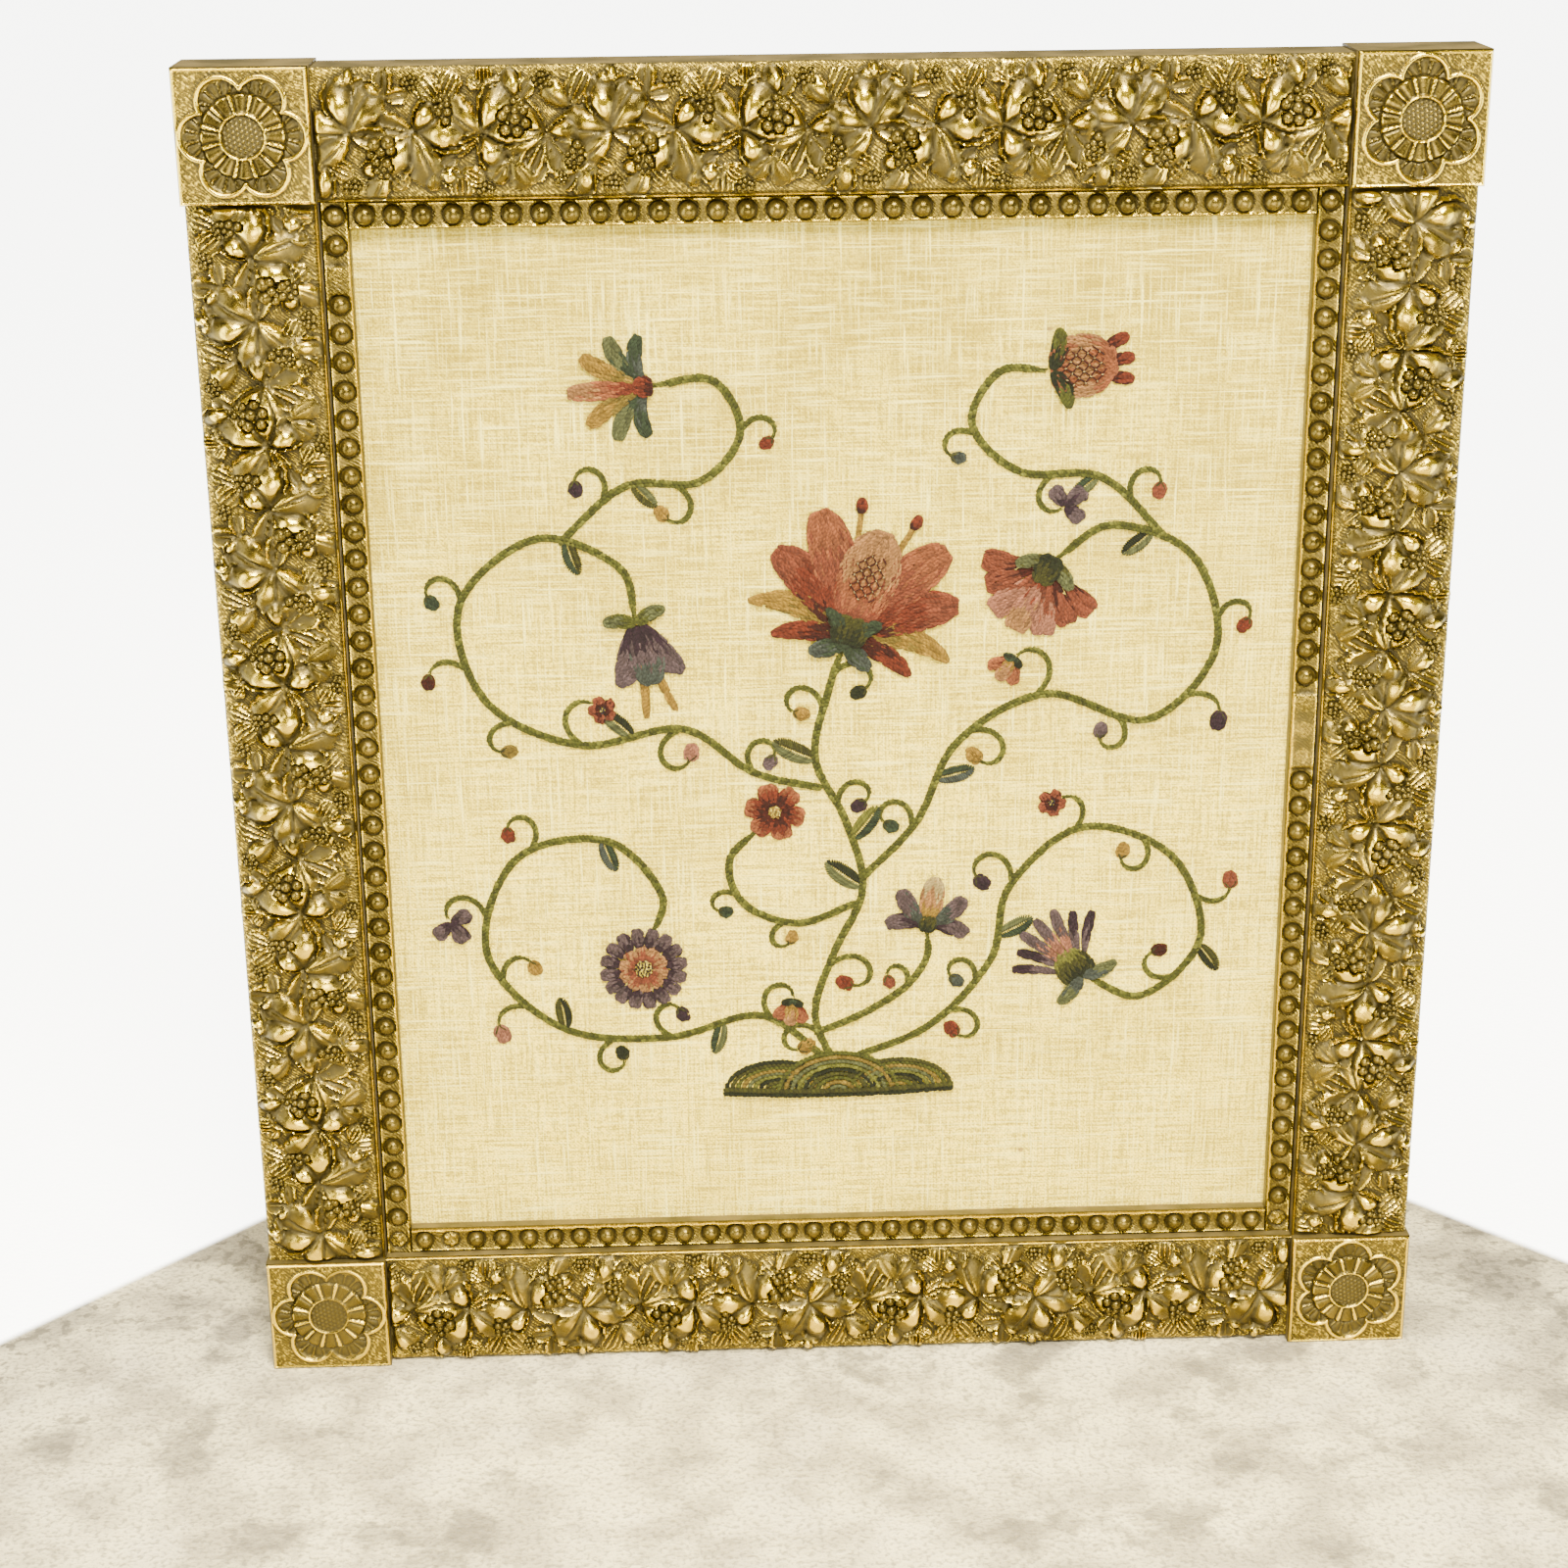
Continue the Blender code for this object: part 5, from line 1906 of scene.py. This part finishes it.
# Side shoots by stem, each with Shoot's fields
SHOOTS = {
    "trunk": (
        (0.10, 1, 40, 240, Yarn.MUSTARD),
        (0.26, -1, 46, -236, Yarn.BRICK),
        (0.64, -1, 36, -230, Yarn.PLUM, 10),
        (0.86, 1, 40, 236, Yarn.MUSTARD, 10),
        (0.94, -1, 34, -190, Yarn.FOREST, 10),
    ),
    "low_left": (
        (0.10, -1, 40, -226, SMALL_TULIP),
        (0.24, -1, 36, -210, Yarn.PLUM, 10),
        (0.32, 1, 40, 250, Yarn.FOREST, 10),
        (0.45, 1, 26, 120, Yarn.PINK, 12),
        (0.50, -1, 28, -150, Yarn.MUSTARD, 10),
        (0.60, 1, 40, 200, TREFOIL),
        (0.72, 1, 36, 210, Yarn.BRICK, 10),
    ),
    "low_right": (
        (0.16, -1, 40, -236, Yarn.BRICK),
        (0.22, 1, 34, 230, Yarn.SLATE, 10),
        (0.38, 1, 44, 220, Yarn.PLUM),
        (0.50, 1, 30, 160, CLUSTER, 12),
        (0.60, -1, 36, -220, Yarn.MUSTARD, 10),
        (0.72, 1, 26, 130, Yarn.ROSE, 11),
        (0.86, -1, 30, -170, Yarn.MAROON, 10),
    ),
    "high_left": (
        (0.10, -1, 38, -240, Yarn.LILAC, 10),
        (0.22, 1, 44, 230, Yarn.PINK),
        (0.36, -1, 40, -180, CLUSTER),
        (0.46, 1, 30, 180, Yarn.GOLD, 10),
        (0.56, 1, 26, 120, Yarn.MAROON, 10),
        (0.66, 1, 34, 200, Yarn.TEAL, 10),
    ),
    "high_right": (
        (0.10, 1, 40, 240, Yarn.TEAL, 10),
        (0.26, -1, 44, -230, Yarn.MUSTARD),
        (0.36, 1, 44, 190, SMALL_TULIP, 10),
        (0.48, -1, 34, -220, Yarn.LILAC, 10),
        (0.58, -1, 26, -110, Yarn.PLUM, 12),
        (0.70, -1, 30, -190, Yarn.BRICK, 10),
    ),
    "crown_left": (
        (0.18, 1, 34, 200, Yarn.PLUM, 10),
        (0.40, -1, 34, -190, Yarn.MUSTARD, 10),
        (0.66, -1, 30, -190, Yarn.BRICK, 9),
    ),
    "crown_right": (
        (0.16, -1, 34, -200, Yarn.ROSE, 10),
        (0.40, 1, 34, 190, TREFOIL, 10),
        (0.66, 1, 30, 190, Yarn.SLATE, 9),
    ),
    "mid_left": (
        (0.35, 1, 28, 220, Yarn.MUSTARD, 9),
        (0.62, 1, 26, 200, Yarn.TEAL, 9),
    ),
    "mid_right": (
        (0.62, 1, 26, 210, Yarn.ROSE, 9),
    ),
}
# Leaves by stem, each with Sprig's fields
SPRIGS = {
    "trunk": (
        (0.45, 1, 26, (Yarn.FOREST, Yarn.SAGE)),
        (0.56, -1, 24, (Yarn.TEAL, Yarn.OLIVE_LIGHT)),
        (0.75, 1, 26, (Yarn.MOSS, Yarn.SAGE)),
    ),
    "low_left": (
        (0.17, 1, 20, SEA_GREENS),
        (0.39, -1, 20, DARK_GREENS),
        (0.82, -1, 20, (Yarn.SLATE, Yarn.TEAL)),
    ),
    "low_right": (
        (0.30, -1, 22, SEA_GREENS),
        (0.80, 1, 20, DARK_GREENS),
    ),
    "high_left": (
        (0.29, -1, 22, (Yarn.FOREST, Yarn.SAGE)),
        (0.84, -1, 20, (Yarn.TEAL, Yarn.MOSS)),
    ),
    "high_right": (
        (0.18, -1, 22, (Yarn.SLATE, Yarn.TEAL)),
        (0.86, 1, 20, (Yarn.FOREST, Yarn.SAGE)),
    ),
    "crown_left": (
        (0.28, -1, 18, (Yarn.MOSS, Yarn.SAGE)),
    ),
    "crown_right": (
        (0.28, 1, 18, SEA_GREENS),
    ),
}


@dataclass
class Crewel:
    """The needlework: mound, stems, side shoots and flowers, in a layout of its own."""

    seat: Seat
    linen: LinenPanel
    finish: Material
    stem_width: float = 5.0 * MM

    def mound(self, stitches: Stitches) -> None:
        """Works the ground that the stems grow from: three hillocks of arched rows.

        Args:
            stitches: Where its stitches go.
        """
        rows = ((-34, -206, 30, 17), (34, -206, 30, 17), (0, -208, 34, 24))
        tints = (Yarn.FOREST, Yarn.MOSS, Yarn.OLIVE, Yarn.GOLD, Yarn.SAGE, Yarn.OLIVE_LIGHT)
        for layer, (x, y, half, rise) in enumerate(rows):
            for number in range(9):
                share = 1.0 - number / 9.5
                turn = np.linspace(math.pi, 0.0, 40)
                arch = (x + half * share * np.cos(turn), y + rise * share * np.sin(turn))
                tint = tints[(number + layer) % len(tints)]
                stitches.row(Route(np.stack(arch, axis=1) * MM), 2.5 * MM, tint, lift=0.35 * MM * layer)
        for rise, tint in ((2.4, Yarn.MOSS), (0.0, Yarn.FOREST)):
            foot = ((-66, rise - 207.4), (-24, rise - 209.4), (24, rise - 209.4), (66, rise - 207.4))
            stitches.row(Route.through(foot), 3.2 * MM, tint, lift=1.3 * MM)

    def sew(self) -> list[Piece]:
        """Sews everything.

        Returns:
            The pieces of needlework.
        """
        routes = {stem: Route.through(points) for stem, points in STEMS.items()}
        vine, shoots, blooms = Stitches(11), Stitches(12), Stitches(13)
        for route in routes.values():
            vine.plait(route, self.stem_width)
        for stem, rows in SHOOTS.items():
            for row in rows:
                Shoot(*row).sew(shoots, routes[stem], 0.76 * self.stem_width)
        for stem, rows in SPRIGS.items():
            for row in rows:
                Sprig(*row).sew(shoots, routes[stem])
        self.mound(blooms)
        for stem, bloom, scale, tilt in BLOOMS:
            bloom.sew(blooms, routes[stem], scale, tilt)
        named = {"vine_stems": vine, "vine_shoots": shoots, "blooms": blooms}
        return [part.mesh(name, self.seat, self.linen, self.finish) for name, part in named.items()]


def pose(right: Sequence[float], above: Sequence[float], behind: Sequence[float],
         place: Sequence[float]) -> Matrix:
    """The matrix whose columns are an object's three directions and its place."""
    return Matrix((*zip(right, above, behind, place), (0.0, 0.0, 0.0, 1.0)))


PANEL_MIDDLE = (0.0, 0.0, 0.37)


@dataclass(frozen=True)
class Lamp:
    """A square soft light that looks at the panel's middle."""

    name: str
    place: tuple[float, float, float]
    size: float
    power: float
    colour: Colour

    def hang(self) -> None:
        """Adds the lamp to the scene."""
        light = bpy.data.lights.new(self.name, "AREA")
        light.size = self.size
        light.energy = self.power
        light.color = self.colour
        lamp = bpy.data.objects.new(self.name, light)
        aim = np.array(PANEL_MIDDLE) - np.array(self.place)
        aim = aim / np.linalg.norm(aim)
        side = np.cross(aim, (0.0, 0.0, 1.0))
        side = side / np.linalg.norm(side)
        lamp.matrix_world = pose(side, np.cross(side, aim), -aim, self.place)
        bpy.context.scene.collection.objects.link(lamp)


LAMPS = (
    Lamp("key", (0.30, -1.55, 2.15), 0.64, 225.0, (1.0, 0.90, 0.64)),
    Lamp("ceiling", (-0.3, -0.5, 2.9), 1.5, 120.0, (1.0, 0.90, 0.66)),
    Lamp("fill", (-1.9, -1.5, 1.1), 1.1, 42.0, (1.0, 0.94, 0.76)),
    Lamp("bounce", (0.10, -1.05, 0.05), 0.9, 36.0, (1.0, 0.90, 0.66)),
)


@dataclass(frozen=True)
class Studio:
    """The floor, the room's light and the camera at the photograph's viewing angle."""

    camera_place: tuple[float, float, float] = (-0.0714, -1.4925, 0.890)
    right: tuple[float, float, float] = (0.9994, -0.0322, -0.0107)
    above: tuple[float, float, float] = (0.0210, 0.3407, 0.9399)
    behind: tuple[float, float, float] = (-0.0266, -0.9396, 0.3412)
    lens: float = 66.45
    sensor: float = 36.0
    floor_reach: float = 60.0
    room_colour: Colour = (1.0, 0.97, 0.88)
    room_light: float = 0.22

    def build(self) -> None:
        """Builds the floor, the lights, the world and the camera."""
        self.lay_floor()
        world = bpy.data.worlds.new("studio")
        world.use_nodes = True
        background = world.node_tree.nodes["Background"].inputs
        background["Color"].default_value = (*self.room_colour, 1.0)
        background["Strength"].default_value = self.room_light
        bpy.context.scene.world = world
        for lamp in LAMPS:
            lamp.hang()
        self.set_camera()

    def lay_floor(self) -> None:
        """Lays one large square, which is a stage and no part of the panel."""
        mesh = bpy.data.meshes.new("floor")
        reach = self.floor_reach
        corners = [(-reach, -reach, 0), (reach, -reach, 0), (reach, reach, 0), (-reach, reach, 0)]
        mesh.from_pydata(corners, [], [(0, 1, 2, 3)])
        mesh.materials.append(FloorFinish().make())
        floor = bpy.data.objects.new("floor", mesh)
        bpy.context.scene.collection.objects.link(floor)

    def set_camera(self) -> None:
        """Sets up the camera and makes it the scene's."""
        data = bpy.data.cameras.new("view")
        data.lens = self.lens
        data.sensor_width = self.sensor
        camera = bpy.data.objects.new("view", data)
        camera.matrix_world = pose(self.right, self.above, self.behind, self.camera_place)
        bpy.context.scene.collection.objects.link(camera)
        bpy.context.scene.camera = camera


RAILS = (
    LeafBand("rail_top", (1.0, 0.0)),
    LeafBand("rail_bottom", (-1.0, 0.0)),
    LeafBand("rail_left", (0.0, 1.0)),
    LeafBand("rail_right", (0.0, -1.0)),
)
BLOCKS = (
    CornerBlock("block_top_left", (1.0, 0.0), worn=0.1),
    CornerBlock("block_top_right", (1.0, 0.0), lobe_turn=math.pi / 2),
    CornerBlock("block_bottom_left", (1.0, 0.0), worn=0.70),
    CornerBlock("block_bottom_right", (1.0, 0.0), lobe_turn=math.pi / 2, worn=0.40),
)
STRIPS = (
    BeadStrip("bead_strip_top", (1.0, 0.0)),
    BeadStrip("bead_strip_bottom", (1.0, 0.0), lost=(1,)),
    BeadStrip("bead_strip_left", (0.0, 1.0), lost=(0, 37), smooth=((0.253, 0.268),)),
    BeadStrip("bead_strip_right", (0.0, 1.0), lost=(0, 19, 20, 21), smooth=((-0.015, 0.028),)),
)
# The linen's brown spots: x, height and radius
SPOTS = (
    (-0.010, 0.112, 1.6 * MM),
    (0.105, 0.120, 2.2 * MM),
    (0.112, 0.597, 2.0 * MM),
    (0.230, 0.300, 1.6 * MM),
)


def main() -> None:
    """Builds the panel piece by piece."""
    logging.basicConfig(level=logging.INFO, format="%(name)s %(message)s")
    Studio().build()
    block_face = float(CAD_BOX[0][1]) + ROSETTE_RISE
    band = GiltFinish("gilt_band").make()
    punched = GiltFinish("gilt_block", hatch_pitch=1.7 * MM).make()
    beaded = GiltFinish("gilt_bead", tone=0.95).make()
    for rail in RAILS:
        rail.build(block_face, band)
    for block in BLOCKS:
        block.build(block_face, punched)
    carriers = [strip.build(block_face, beaded) for strip in STRIPS]

    linen = LinenPanel()
    seat = linen.seat(block_face)
    cloth = linen.build(seat, LinenFinish(spots=SPOTS).make())
    needlework = Crewel(seat, linen, YarnFinish().make()).sew()


if __name__ == "__main__":
    main()
